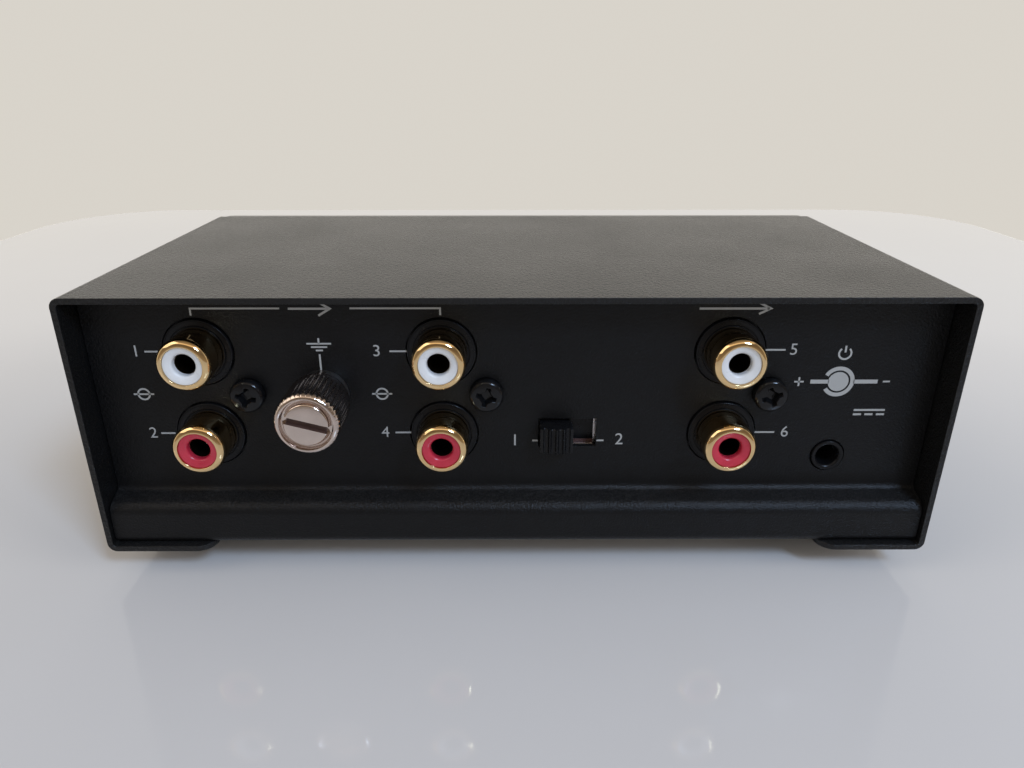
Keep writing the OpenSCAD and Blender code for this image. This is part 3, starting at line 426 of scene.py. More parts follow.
def soften(name, width):
    """Rounds the sharp edges of a solid by modifiers alone."""
    solid = nodes[name]
    weld = solid.modifiers.new("weld", "WELD")
    weld.merge_threshold = WELD_GAP * MM
    merge = solid.modifiers.new("merge flat faces", "DECIMATE")
    merge.decimate_type, merge.angle_limit = "DISSOLVE", math.radians(FLAT_WITHIN)
    bevel = solid.modifiers.new("soft edge", "BEVEL")
    bevel.width, bevel.segments = width * MM, BEVEL_STEPS
    bevel.limit_method, bevel.angle_limit = "ANGLE", math.radians(SHARP_FROM)
    bevel.miter_outer = "MITER_ARC"
    weighted = solid.modifiers.new("weighted normals", "WEIGHTED_NORMAL")
    weighted.weight = FLAT_WEIGHT


SOFT = {"cover": 0.25, "chassis": 0.2, "front_panel": 0.1, "power_inlet": 0.15, "switch_frame": 0.06,
        "ground_bush": 0.15, "ground_washer": 0.12, "feet": 0.3, "switch_base": 0.05}
SOFT.update({name: 0.12 for name in nodes if name.startswith("jack_housing")})
for name, width in SOFT.items():
    soften(name, width)
print(len(SOFT), "solids softened")

# %% [markdown]
# ## Places, and surfaces through rings
# Most of what follows sits on the rear panel and is round or drawn out, so a few helpers
# serve all of it: a frame that looks out of the panel, and a surface that joins ring after
# ring of points. Modifiers could lathe and extrude too, but rings in mesh code also take a
# knurl, a cross recess or a bowed front.

# %% Places on the rear panel
SHELL_OUT = 6.5
PANEL_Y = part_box("shell_input_1_left")[1].y / MM - SHELL_OUT


def centre_of(name):
    """Middle of a solid's box, as x and z in mm."""
    low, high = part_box(name)
    return (low.x + high.x) / 2 / MM, (low.z + high.z) / 2 / MM


def face_out(x, z, out=0.0, turn=0.0):
    """Frame of a turned piece on the panel: its +Z looks out, its +Y is up."""
    place = Vector((x, PANEL_Y + out, z)) * MM
    facing = Matrix.Translation(place) @ Matrix.Rotation(math.pi, 4, "Z")
    return facing @ Matrix.Rotation(math.radians(90), 4, "X") @ Matrix.Rotation(turn, 4, "Z")


print("panel at", round(PANEL_Y, 2), "mm")

# %% Surfaces through rings of points
def skin(bm, at, rings, ends=False, closed=False):
    """A surface through rings of points in mm; a ring of one point is a tip."""
    made = [[bm.verts.new(at @ (Vector(point) * MM)) for point in ring] for ring in rings]
    for first, second in zip(made, made[1:] + (made[:1] if closed else [])):
        count = max(len(first), len(second))
        for i in range(count):
            j = (i + 1) % count
            if len(first) == 1 or len(second) == 1:
                tip, edge = (first, second) if len(first) == 1 else (second, first)
                bm.faces.new([tip[0], edge[i], edge[j]])
            else:
                bm.faces.new([first[i], first[j], second[j], second[i]])
    for ring in (made[0], made[-1]):
        if ends and len(ring) > 1:
            bm.faces.new(ring)


print("skin joins rings of points")

# %% New meshes, and pieces that ride on a body
def mesh_from(name, build):
    """Runs a builder on an empty bmesh and returns the mesh with outward normals."""
    bm = bmesh.new()
    build(bm)
    bmesh.ops.recalc_face_normals(bm, faces=bm.faces)
    mesh = bpy.data.meshes.new(name)
    bm.to_mesh(mesh)
    bm.free()
    return mesh


def add_piece(name, mesh, material, body, smooth=True):
    """Links a mesh as a piece that rides on a body."""
    piece = bpy.data.objects.new(name, mesh)
    bpy.context.scene.collection.objects.link(piece)
    mesh.materials.clear()
    mesh.materials.append(material)
    if smooth:
        mesh.shade_smooth()
    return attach(piece, body)


print("piece helpers ready")

# %% [markdown]
# ## Fixing screws of the socket blocks
# A pan head with a cross recess is a dome with a tapered cross pressed into it. A boolean
# would give knife edges, while the real ones are drawn in by a punch and then blackened,
# which leaves soft edges. So the head is a height field on a polar grid: the dome's height
# minus the cross's depth, which fades in smoothly.

# %% Height of a pan head with a cross recess
HEAD_R, HEAD_H, HEAD_EDGE, HEAD_DROP, DROP_LIMIT = 2.7, 2.1, 0.6, 0.22, 1.2
ARM_HALF, ARM_TIP, ARM_FILL, RECESS = 0.42, 1.68, 1.05, 1.3
ARM_SLOPE, TIP_SLOPE, FILL_SLOPE, DIAGONAL, SOFTNESS = 3.6, 1.9, 3.0, 0.707, 0.07


def dome(r):
    """Pan head: nearly flat on top, round at the rim, upright at the side."""
    flat = HEAD_R - HEAD_EDGE
    past = max(r - flat, 0.0)
    crown = HEAD_H - HEAD_DROP * min(r / flat, DROP_LIMIT) ** 2
    return crown - HEAD_EDGE + max(HEAD_EDGE ** 2 - past ** 2, 0.0) ** 0.5


def cross_depth(u, v):
    """Depth of the tapered cross below the dome, with a soft edge."""
    arms = [min((ARM_FILL - (abs(u) + abs(v)) * DIAGONAL) * FILL_SLOPE, RECESS)]
    for along, across in ((abs(u), abs(v)), (abs(v), abs(u))):
        arms.append(min((ARM_HALF - across) * ARM_SLOPE, (ARM_TIP - along) * TIP_SLOPE, RECESS))
    depth = max(max(arms), 0.0)
    return depth * depth / (depth + SOFTNESS)


print("dome", round(dome(0), 2), "mm high, recess", round(cross_depth(0, 0), 2), "mm deep")

# %% Build the three screws where the solid ones are
RINGS, SPOKES, CROWDING = 58, 168, 0.92
EAR_X, SHANK_R, SHANK_L = 6.9, 1.3, 6.0
SCREW_TURNS = {"input_1": -0.22, "input_2": -0.27, "output": 0.32}


def circle(r, count):
    """Points (u, v) round the axis at a radius, or the axis itself."""
    angles = [math.tau * i / count for i in range(count if r else 1)]
    return [(r * math.cos(a), r * math.sin(a)) for a in angles]


def pan_head_screws(bm):
    """Three heads with their shanks, in one mesh as the solid has them."""
    rings = []
    for i in range(RINGS + 1):
        spots = circle(HEAD_R * (i / RINGS) ** CROWDING, SPOKES)
        rings.append([(u, v, dome(math.hypot(u, v)) - cross_depth(u, v)) for u, v in spots])
    for r, h in ((HEAD_R, 0.0), (SHANK_R, 0.0), (SHANK_R, -SHANK_L)):
        rings.append([(u, v, h) for u, v in circle(r, SPOKES)])
    screw_z = centre_of("jack_screws")[1]
    for pair, turn in SCREW_TURNS.items():
        screw_x = centre_of("shell_" + pair + "_left")[0] - EAR_X
        skin(bm, face_out(screw_x, screw_z, turn=turn), rings, ends=True)


screws = add_piece("pan_head_screws", mesh_from("pan_head_screws", pan_head_screws), black_screw, "root")
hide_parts("jack_screws")
print("pan head screws:", len(screws.data.polygons), "faces")

# %% [markdown]
# ## Ground thumbscrew
# The head is turned from brass bar: a knurled edge, a polished chamfer, a ring groove and
# a raised disc with a screwdriver slot. A lathe in mesh code is a profile swept round the
# axis. The knurl is a ridge height that limits the radius, as the knurling wheel does, so
# it runs out by itself on the chamfers. The slot is sawn last, by a boolean, and a thin
# lining in it carries a dark brown: the worn metal's tone, darkened further as painted
# shade in the slot. The thread is drawn as rings, which look the same as a helix at this
# size.

# %% A lathe for profiles
def lathe(bm, at, profile, spokes, limit=None):
    """Sweeps a profile of (radius, height) round the axis; limit(angle) caps the radius."""
    rings = []
    for r, h in profile:
        ring = []
        for i in range(spokes if r else 1):
            a = math.tau * i / spokes
            reach = min(r, limit(a)) if limit else r
            ring.append((reach * math.cos(a), reach * math.sin(a), h))
        rings.append(ring)
    skin(bm, at, rings)


print("lathe ready")

# %% Profile of the thumbscrew's head
THUMB_R, THUMB_L, TEETH, KNURL_DEEP, KNURL_SHARP = 4.85, 8.6, 38, 0.28, 2.4
DISC_R, GROOVE_R, BOWL, SLOT_W, SLOT_DEEP = 3.15, 3.95, 0.85, 1.1, 0.9
THUMB_X, THUMB_Z = centre_of("ground_thumbscrew")
HEAD_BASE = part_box("ground_thumbscrew")[1].y / MM - PANEL_Y - THUMB_L
THUMB_PROFILE = [(0.0, 0.0), (THUMB_R - 0.65, 0.0), (THUMB_R - 0.3, 0.2), (THUMB_R, 0.6)]
THUMB_PROFILE += [(THUMB_R, 2.4), (THUMB_R, 5.2)]
FROM_FRONT = [  # radius, and depth behind the disc's face
    (THUMB_R, 0.95), (THUMB_R - 0.06, 0.78), (THUMB_R - 0.2, 0.5), (THUMB_R - 0.42, 0.24),
    (THUMB_R - 0.62, 0.11), (GROOVE_R + 0.1, 0.09), (GROOVE_R, 0.14), (GROOVE_R - 0.05, 0.35),
    (GROOVE_R - 0.11, BOWL - 0.13), (GROOVE_R - 0.25, BOWL - 0.01), (DISC_R + 0.44, BOWL),
    (DISC_R + 0.3, BOWL - 0.09), (DISC_R + 0.18, 0.4), (DISC_R + 0.08, 0.16), (DISC_R, 0.05),
    (DISC_R - 0.12, 0.0), (1.6, 0.0), (0.8, 0.0), (0.0, 0.0),
]
THUMB_PROFILE += [(r, THUMB_L - deep) for r, deep in FROM_FRONT]


def knurl(angle):
    """Radius of the knurled bar: rounded ridges with narrow grooves between them."""
    phase = (angle * TEETH / math.tau) % 1.0
    return THUMB_R - KNURL_DEEP * abs(phase * 2 - 1) ** KNURL_SHARP


print("profile of", len(THUMB_PROFILE), "points,", TEETH, "ridges")

# %% Turn, knurl and slot the thumbscrew
SLOT_TURN, SAW_HALF, SAW_OVER, TOOTH_SPOKES = -15, 3.6, 0.5, 12
LINING, SUNK, FLOOR_HALF, WALL_HALF, WALL_TOP = 0.012, 0.02, 3.0, 2.9, -0.1


def block(bm, place, x, y, z):
    """A box from pairs of limits in mm."""
    corners = [bm.verts.new(place @ (Vector((a, b, c)) * MM)) for a in x for b in y for c in z]
    for face in ((0, 1, 3, 2), (4, 6, 7, 5), (0, 4, 5, 1), (2, 3, 7, 6), (0, 2, 6, 4), (1, 5, 7, 3)):
        bm.faces.new([corners[i] for i in face])


def cut_away(mesh, cutter):
    """Boolean difference of two meshes, as a new mesh."""
    body = bpy.data.objects.new("cut_body", mesh)
    tool = bpy.data.objects.new("cut_tool", cutter)
    for item in (body, tool):
        bpy.context.scene.collection.objects.link(item)
    saw = body.modifiers.new("saw", "BOOLEAN")
    saw.operation, saw.solver, saw.object = "DIFFERENCE", "MANIFOLD", tool
    result_mesh = bpy.data.meshes.new_from_object(body.evaluated_get(bpy.context.evaluated_depsgraph_get()))
    for item in (body, tool):
        bpy.data.objects.remove(item)
    return result_mesh


def slot_cutter(bm):
    """A bar as wide as the slot, across the raised disc."""
    block(bm, slot_place, (-SAW_HALF, SAW_HALF), (-SLOT_W / 2, SLOT_W / 2), (-SLOT_DEEP, SAW_OVER))


def slot_lining(bm):
    """Thin floor and walls of the slot, dark brown for the worn metal and darkened further as painted shade
    in the slot.
    """
    side = SLOT_W / 2
    block(bm, slot_place, (-FLOOR_HALF, FLOOR_HALF), (-side + LINING, side - LINING),
          (-SLOT_DEEP - SUNK, -SLOT_DEEP + LINING))
    for s in (-1, 1):
        across = sorted((s * side + SUNK * s, s * side - LINING * s))
        block(bm, slot_place, (-WALL_HALF, WALL_HALF), across, (-SLOT_DEEP, WALL_TOP))


at = face_out(THUMB_X, THUMB_Z, HEAD_BASE)
slot_place = at @ Matrix.Rotation(math.radians(SLOT_TURN), 4, "Z") @ Matrix.Translation((0, 0, THUMB_L * MM))
head = mesh_from("thumb_head", lambda bm: lathe(bm, at, THUMB_PROFILE, TEETH * TOOTH_SPOKES, knurl))
slotted = cut_away(head, mesh_from("slot_cutter", slot_cutter))
print("thumbscrew head:", len(slotted.polygons), "faces, head base", round(HEAD_BASE, 2), "mm out")

# %% Add the thread and put the thumbscrew in place
THREAD_R, ROOT_R, TIP_R, PITCH, FLANK, LAND = 2.0, 1.72, 1.7, 0.7, 0.3, 0.05
THREAD_END, SHANK_END, INTO_HEAD, THREAD_SPOKES = -7.6, -8.0, 0.3, 64
THREAD = [(0.0, HEAD_BASE + INTO_HEAD), (THREAD_R, HEAD_BASE + INTO_HEAD)]
crest = HEAD_BASE
while crest > THREAD_END:
    root = crest - FLANK
    THREAD += [(THREAD_R, crest), (ROOT_R, root), (ROOT_R, root - LAND), (THREAD_R, root - LAND - FLANK)]
    crest -= PITCH
THREAD += [(TIP_R, SHANK_END), (0.0, SHANK_END)]
base = face_out(THUMB_X, THUMB_Z)
joined = bmesh.new()
joined.from_mesh(slotted)
joined.from_mesh(mesh_from("thumb_thread", lambda bm: lathe(bm, base, THREAD, THREAD_SPOKES)))
whole = bpy.data.meshes.new("thumbscrew_turned")
joined.to_mesh(whole)
joined.free()
thumbscrew = add_piece("thumbscrew_turned", whole, nickel, "ground_screw")
whole.set_sharp_from_angle(angle=math.radians(32))
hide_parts("ground_thumbscrew")
# The lining paints the slot's shade over the worn metal's tone.
lining_mesh = mesh_from("thumbscrew_slot", slot_lining)
lining = add_piece("thumbscrew_slot", lining_mesh, worn_slot_and_shade, "ground_screw", smooth=False)
print("thumbscrew:", len(whole.polygons), "faces")

# %% [markdown]
# ## Gold shells
# Each socket's shell is turned, so it comes off the same lathe. Its front edge is broadly
# rounded, to lead the plug on, and that round edge is what makes a gold ring of it: it
# mirrors the window, the dim room and the table in bands. A bevel on the solid could round
# it evenly, but the real edge is longer than it is deep, which a profile gives.

# %% Turn the shells
SHELL_R, BORE_R, SHELL_IN, SEAT, STEM_R, BARREL = 4.1, 3.0, -5.0, 0.4, 3.67, 2.0
LIP, RIM_R, LEAD, TURNED_SPOKES = 0.06, BORE_R + 0.05, 1.15, 96
SHELLS = [name for name in nodes if name.startswith("shell_")]


def ellipse(centre, radii, start, end, count):
    """Points on part of an ellipse, from an angle in degrees to another."""
    angles = [math.radians(start + (end - start) * i / count) for i in range(count + 1)]
    return [(centre[0] + radii[0] * math.cos(a), centre[1] + radii[1] * math.sin(a)) for a in angles]


def turn_on_panel(name, like, profile, material):
    """Turns a profile at the centre of a solid on the panel, as a piece of the case's body."""
    place = face_out(*centre_of(like))
    mesh = mesh_from(name, lambda bm: lathe(bm, place, profile, TURNED_SPOKES))
    piece = add_piece(name, mesh, material, "root")
    mesh.set_sharp_from_angle(angle=math.radians(40))
    return piece


SHELL_PROFILE = [(BORE_R, SHELL_IN)] + ellipse((RIM_R, SHELL_OUT - LIP), (RIM_R - BORE_R, LIP), 180, 90, 4)
SHELL_PROFILE += ellipse((RIM_R, SHELL_OUT - LEAD), (SHELL_R - RIM_R, LEAD), 87, 0, 18)
SHELL_PROFILE += [(SHELL_R, BARREL), (SHELL_R, SEAT), (STEM_R, SEAT), (STEM_R, SHELL_IN), (BORE_R, SHELL_IN)]
for name in SHELLS:
    turned_shell = turn_on_panel("turned_" + name, name, SHELL_PROFILE, gold)
    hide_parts(name)
print(len(SHELLS), "shells turned from", len(SHELL_PROFILE), "points each")

# %% [markdown]
# ## Insulating inserts
# The coloured plastic in each shell is moulded round a hole for the plug's pin. Its mouth
# is rounded to lead the pin in, and a wider seat behind the hole holds the contact. It is
# round too, so a second profile at the same centres makes it.

# %% Turn the insulating inserts
HOLE_R, MOUTH, SEAT_R, SEAT_OUT, SET_BACK = 1.72, 0.55, 2.15, 4.82, 0.5
EDGE_W, EDGE_H, EDGE_BACK, FIT = 0.12, 0.1, 0.35, 0.01
MOUTH_OUT = SHELL_OUT - SET_BACK - MOUTH
INSERTS = [name for name in nodes if name.startswith("insert_")]
INSERT_PROFILE = [(SEAT_R, SHELL_IN), (SEAT_R, SEAT_OUT), (HOLE_R, SEAT_OUT), (HOLE_R, MOUTH_OUT)]
INSERT_PROFILE += ellipse((HOLE_R + MOUTH, MOUTH_OUT), (MOUTH, MOUTH), 180, 108, 12)
INSERT_PROFILE += ellipse((BORE_R - FIT - EDGE_W, SHELL_OUT - EDGE_BACK), (EDGE_W, EDGE_H), 90, 0, 4)
INSERT_PROFILE += [(BORE_R - FIT, SHELL_IN), (SEAT_R, SHELL_IN)]
for name in INSERTS:
    turned_insert = turn_on_panel("turned_" + name, name, INSERT_PROFILE, insert_finish(name))
    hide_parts(name)
print(len(INSERTS), "inserts turned, hole", 2 * HOLE_R, "mm wide")

# %% [markdown]
# ## Rims of the collars
# The housing's collar reaches through the panel, and a narrow moulded rim on it closes most
# of the gap. The solid's collar stays, and the rim is one more turned ring on it.

# %% Turn the rims of the collars
COLLAR_R, COLLAR_OUT, COLLAR_IN = 5.15, 0.4, -0.5
OVERLAP, RIM_W, RIM_ROUND, SIDE_BACK = 0.1, 0.17, 0.14, 0.16
INNER, OUTER = COLLAR_R - OVERLAP, COLLAR_R + RIM_W
COLLAR_PROFILE = [(INNER, COLLAR_IN), (OUTER, COLLAR_IN), (OUTER, COLLAR_OUT - SIDE_BACK)]
COLLAR_PROFILE += ellipse((OUTER - RIM_ROUND, COLLAR_OUT - RIM_ROUND), (RIM_ROUND, RIM_ROUND), 20, 90, 4)
COLLAR_PROFILE += [(INNER, COLLAR_OUT), (INNER, COLLAR_IN)]
for name in SHELLS:
    turn_on_panel(name.replace("shell", "collar_rim"), name, COLLAR_PROFILE, housing_black)
print("collar rims stand", COLLAR_OUT, "mm out")

# %% [markdown]
# ## Knob of the slide switch
# A thumb pushes this knob sideways, so its bowed front carries five narrow ribs with round
# grooves between them. Its plan is a curve minus the grooves, sampled from side to side and
# extruded upwards, which keeps every rib straight. Neck and carrier are plain blocks.

# %% Ribbed knob on its carrier
KNOB_H, KNOB_HALF, KNOB_BACK, KNOB_FRONT, BOW, CHAMFER = 4.3, 2.6, 0.4, 3.8, 0.9, 0.12
RIBS, NARROWER, GROOVE, GROOVE_DEEP, SAMPLES = 5, 0.4, 0.44, 0.42, 140
NECK_X, NECK_OUT, NECK_INSET, CARRIER_T = (-2.6, 2.3), 0.6, 0.1, 2.0
BOW_R = (KNOB_HALF ** 2 + BOW ** 2) / (2 * BOW)
KNOB_X, KNOB_Z = centre_of("switch_knob")
KNOB_LOW, KNOB_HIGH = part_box("switch_knob")


def knob_front(x):
    """How far the bowed and grooved front stands out at x, in mm."""
    reach = KNOB_FRONT - BOW_R + math.sqrt(BOW_R ** 2 - x * x)
    pitch = 2 * KNOB_HALF / (RIBS - NARROWER)
    for k in range(RIBS - 1):
        past = x - (k + 0.5 - (RIBS - 1) / 2) * pitch
        if abs(past) < GROOVE:
            reach -= GROOVE_DEEP * math.sqrt(1 - (past / GROOVE) ** 2)
    return reach


def ribbed_knob(bm):
    """Grooved head, neck and carrier of the knob."""
    place, half = face_out(KNOB_X, KNOB_Z), KNOB_H / 2
    xs = [KNOB_HALF * (2 * i / SAMPLES - 1) for i in range(SAMPLES + 1)]
    plan = [(-KNOB_HALF, KNOB_BACK)] + [(x, knob_front(x)) for x in xs] + [(KNOB_HALF, KNOB_BACK)]
    rings = []
    for level, inset in ((-half, CHAMFER), (-half + CHAMFER, 0.0), (half - CHAMFER, 0.0), (half, CHAMFER)):
        narrow = 1 - inset / KNOB_HALF
        rings.append([(x * narrow, level, out - (inset if out > KNOB_BACK else 0)) for x, out in plan])
    skin(bm, place, rings, ends=True)
    wide, tall = (KNOB_HIGH.x - KNOB_LOW.x) / 2 / MM, (KNOB_HIGH.z - KNOB_LOW.z) / 2 / MM
    back = KNOB_LOW.y / MM - PANEL_Y
    neck_z = (-half + NECK_INSET, half - NECK_INSET)
    block(bm, place, NECK_X, neck_z, (back + CARRIER_T - NECK_INSET, NECK_OUT))
    block(bm, place, (-wide, wide), (-tall, tall), (back, back + CARRIER_T))


knob = add_piece("ribbed_knob", mesh_from("ribbed_knob", ribbed_knob), knob_black, "switch_slider")
knob.data.set_sharp_from_angle(angle=math.radians(38))
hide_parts("switch_knob")
print("knob box", [round(v / MM, 2) for v in (*KNOB_LOW, *KNOB_HIGH)])

# %% [markdown]
# ## Printed marks
# Screen-printed ink lies on the coat as a film a few hundredths of a millimetre thick. An
# image texture would do it too, but a thin mesh stays sharp at any distance. Strokes are
# ribbons with mitred corners; the plain numbers come from the font that Blender carries.
# The marks say only what any such preamp needs: pairs, channels, ground and polarity.

# %% Ribbons and numbers
INK, BOLD, FILM, DIGIT_SHARE, MITER_LIMIT = 0.28, 0.34, 0.02, 0.73, 0.3


def ribbon(bm, points, width=INK, closed=False):
    """A flat stroke on the panel through (x, z) points in mm, with mitred corners."""
    pts = [Vector(p) for p in points]
    count = len(pts)
    rings = []
    for i, p in enumerate(pts):
        before = pts[i - 1] if (i or closed) else None
        after = pts[(i + 1) % count] if (i < count - 1 or closed) else None
        d1 = (p - before).normalized() if before is not None else (after - p).normalized()
        d2 = (after - p).normalized() if after is not None else d1
        n1, n2 = Vector((-d1.y, d1.x)), Vector((-d2.y, d2.x))
        miter = (n1 + n2).normalized()
        side = miter * (width / 2 / max(miter.dot(n1), MITER_LIMIT))
        corners = ((p + side, 0.0), (p + side, FILM), (p - side, FILM), (p - side, 0.0))
        rings.append([(corner.x, PANEL_Y + out, corner.y) for corner, out in corners])
    skin(bm, Matrix.Identity(4), rings, ends=not closed, closed=closed)


def dash(bm, start, end, z, width=INK):
    """A level stroke from one x to another."""
    ribbon(bm, [(start, z), (end, z)], width)


def arc(x, z, r, start, end, count=40):
    """Points of an arc, angles in degrees as seen from behind."""
    return ellipse((x, z), (-r, r), start, end, count)


def spot(bm, x, z, r):
    """A filled printed dot."""
    rim = arc(x, z, r, 0, 350, 35)
    rings = [[(px, PANEL_Y + out, pz) for px, pz in rim] for out in (0.0, FILM)]
    skin(bm, Matrix.Identity(4), rings, ends=True)


def arrow(bm, tail, neck, tip, z, barb):
    """An arrow along x: a shaft from tail to neck, and two barbs that meet at the tip."""
    dash(bm, tail, neck, z, BOLD)
    ribbon(bm, [(tip + barb[0], z + barb[1]), (tip, z), (tip + barb[0], z - barb[1])], BOLD)


def number(bm, text, x, z, height):
    """A plain number, centred on (x, z) and of the given height in mm."""
    curve = bpy.data.curves.new("digit", "FONT")
    curve.body, curve.align_x, curve.align_y = text, "CENTER", "CENTER"
    curve.size, curve.extrude = height * MM / DIGIT_SHARE, FILM / 2 * MM
    holder = bpy.data.objects.new("digit", curve)
    bpy.context.scene.collection.objects.link(holder)
    shape = bpy.data.meshes.new_from_object(holder.evaluated_get(bpy.context.evaluated_depsgraph_get()))
    shape.transform(face_out(x, z, FILM / 2))
    bm.from_mesh(shape)
    bpy.data.objects.remove(holder)
    bpy.data.meshes.remove(shape)


def printed(name, build):
    """One printed sign as a piece on the chassis."""
    piece = add_piece(name, mesh_from(name, build), print_ink, "root", smooth=False)
    print("printed", name, len(piece.data.polygons), "faces")


# %% Input pairs: bracket, channel numbers and dashes
BRACKET_Z, BRACKET_END, BRACKET_HALVES = 44.95, 43.85, ((49.4, 35.9), (11.65, 25.3))
LINK_X, LINK_Z, LINK_HALF, LINK_R = (58.9, 21.3), 30.9, 1.6, 0.9
CHANNEL_H = 1.95
# number, x and z of its middle, and where its dash starts and ends
INPUT_CHANNELS = (("1", 58.85, 38.05, 57.5, 55.0), ("2", 58.65, 24.05, 57.4, 55.1),
                  ("3", 21.7, 38.05, 19.7, 16.9), ("4", 21.2, 24.1, 19.6, 16.9))


def bracket(bm):
    """Line that joins the two input pairs, with an arrow into the case in its gap."""
    for outer, inner in BRACKET_HALVES:
        ribbon(bm, [(outer, BRACKET_END), (outer, BRACKET_Z), (inner, BRACKET_Z)])
    arrow(bm, 34.6, 28.6, 28.3, 44.9, (1.8, 1.1))


def channels(bm, rows):
    """Channel numbers, each with the dash that leads to its socket."""
    for text, x, z, start, end in rows:
        number(bm, text, x, z, CHANNEL_H)
        dash(bm, start, end, z)


def input_marks(bm):
    """Numbers of the four input sockets, and a ring between the rows of each pair."""
    channels(bm, INPUT_CHANNELS)
    for x in LINK_X:
        dash(bm, x + LINK_HALF, x - LINK_HALF, LINK_Z)
        ribbon(bm, arc(x, LINK_Z, LINK_R, 0, 355, 36)[:-1], closed=True)


printed("print_bracket", bracket)
printed("print_inputs", input_marks)

# %% Output pair and the ground sign
OUTPUT_CHANNELS = (("5", -42.85, 38.2, -38.45, -41.55), ("6", -43.35, 24.05, -38.5, -41.7))
EARTH_X, EARTH_TOP, EARTH_BARS, BAR_W = 30.5, 40.2, ((1.9, 39.3), (1.25, 38.75), (0.55, 38.2)), 0.26
LEADER_X, LEADER_FROM, LEADER_TO = 30.54, 37.57, 34.57


def output_marks(bm):
    """Numbers of the output sockets and an arrow out of the case above them."""
    arrow(bm, -27.6, -38.2, -38.4, 44.85, (1.7, 0.85))
    channels(bm, OUTPUT_CHANNELS)


def ground_marks(bm):
    """Earth sign over the thumbscrew, and its leader."""
    ribbon(bm, [(EARTH_X, EARTH_TOP), (EARTH_X, EARTH_BARS[0][1])])
    for half, z in EARTH_BARS:
        dash(bm, EARTH_X + half, EARTH_X - half, z, BAR_W)
    ribbon(bm, [(LEADER_X, LEADER_FROM), (LEADER_X, LEADER_TO)])


printed("print_output", output_marks)
printed("print_ground", ground_marks)

# %% Switch positions
SWITCH_H, SWITCH_DASH_Z = 2.1, 22.6
SWITCH_PLACES = (("1", 0.3, 22.6, -2.5, -3.4), ("2", -16.6, 22.75, -12.95, -14.1))


def switch_marks(bm):
    """Numbers of the two switch positions with their dashes."""
    for text, x, z, start, end in SWITCH_PLACES:
        number(bm, text, x, z, SWITCH_H)
        dash(bm, start, end, SWITCH_DASH_Z)


printed("print_switch", switch_marks)

# %% The power inlet's signs: polarity, direct current and power
POLE_X, POLE_Z, DOT_R, POLE_RING_R, POLE_RING_W, LEAD_W = -50.6, 32.87, 1.62, 2.22, 0.64, 0.66
PLUS_X, PLUS_HALF, MINUS = -44.4, 0.75, (-57.65, -58.75)
POLE_LEADS = ((-46.2, POLE_X + 1.5), (POLE_X - 2.4, -56.8))
DIRECT_X, DIRECT_L, DIRECT_Z, DASH_Z, DASH_L, DASH_STEP = -53.9, 5.0, 27.95, 27.2, 1.3, 1.85
POWER_X, POWER_Z, POWER_R, POWER_W, POWER_STROKE = -50.9, 37.6, 0.95, 0.3, (37.75, 38.85)


def polarity_marks(bm):
    """The centre pin's polarity: a dot in an open ring between a plus and a minus sign."""
    dash(bm, PLUS_X + PLUS_HALF, PLUS_X - PLUS_HALF, POLE_Z)
    ribbon(bm, [(PLUS_X, POLE_Z + PLUS_HALF), (PLUS_X, POLE_Z - PLUS_HALF)])
    for start, end in POLE_LEADS:
        dash(bm, start, end, POLE_Z, LEAD_W)
    ribbon(bm, arc(POLE_X, POLE_Z, POLE_RING_R, 213, 512, 60), POLE_RING_W)
    spot(bm, POLE_X, POLE_Z, DOT_R)
    dash(bm, *MINUS, POLE_Z)


def current_sign(bm):
    """Direct current: a solid bar over a dashed one; and the sign for power above them."""
    dash(bm, DIRECT_X, DIRECT_X - DIRECT_L, DIRECT_Z, BOLD)
    for k in range(3):
        dash(bm, DIRECT_X - DASH_STEP * k, DIRECT_X - DASH_STEP * k - DASH_L, DASH_Z, BOLD)
    ribbon(bm, arc(POWER_X, POWER_Z, POWER_R, 130, 410), POWER_W)
    ribbon(bm, [(POWER_X, POWER_STROKE[0]), (POWER_X, POWER_STROKE[1])], POWER_W)


printed("print_polarity", polarity_marks)
printed("print_current", current_sign)

# %% [markdown]
# ## Floor, walls and light
# A product shot wants a pale table and large soft lights. The table is a rounded slab with a
# glossy lacquer. It ends beyond the preamp, and what lies beyond it is a pale warm wall.

# %% Table
TABLE_HALF, TABLE_NEAR, TABLE_FAR, TABLE_ROUND, TABLE_T, TABLE_EDGE = 260, 750, -335, 62, 18, 3


def slab(bm):
    """Rounded slab with its top at zero."""
    right, left = TABLE_HALF - TABLE_ROUND, TABLE_ROUND - TABLE_HALF
    near, far = TABLE_NEAR - TABLE_ROUND, TABLE_FAR + TABLE_ROUND
    rim = []
    for k, corner in enumerate(((right, near), (left, near), (left, far), (right, far))):
        rim += ellipse(corner, (TABLE_ROUND, TABLE_ROUND), 90 * k, 90 * k + 90, 16)
    skin(bm, Matrix.Identity(4), [[(x, y, h) for x, y in rim] for h in (0, -TABLE_T)], ends=True)


table_top = finish("table_lacquer", (0.56, 0.53, 0.505), (0.58, 0.55, 0.525), (0.05, 0.08),
                   cloudy(120.0), IOR=1.52)
table = bpy.data.objects.new("table", mesh_from("table", slab))
table.data.materials.append(table_top)
bpy.context.scene.collection.objects.link(table)
edge = table.modifiers.new("edge", "BEVEL")
edge.width, edge.segments = TABLE_EDGE * MM, 4
print("table", [round(d, 3) for d in table.dimensions])

# %% [markdown]
# The world does three jobs, told apart by the kind of ray. The camera sees the plain wall.
# Mirrors see the wall ahead and a dim warm room behind the camera, both in bands of
# brightness by height, because gloss and gold need something to mirror. Everything else is
# lit by even daylight, with more of it low down on the camera's side.

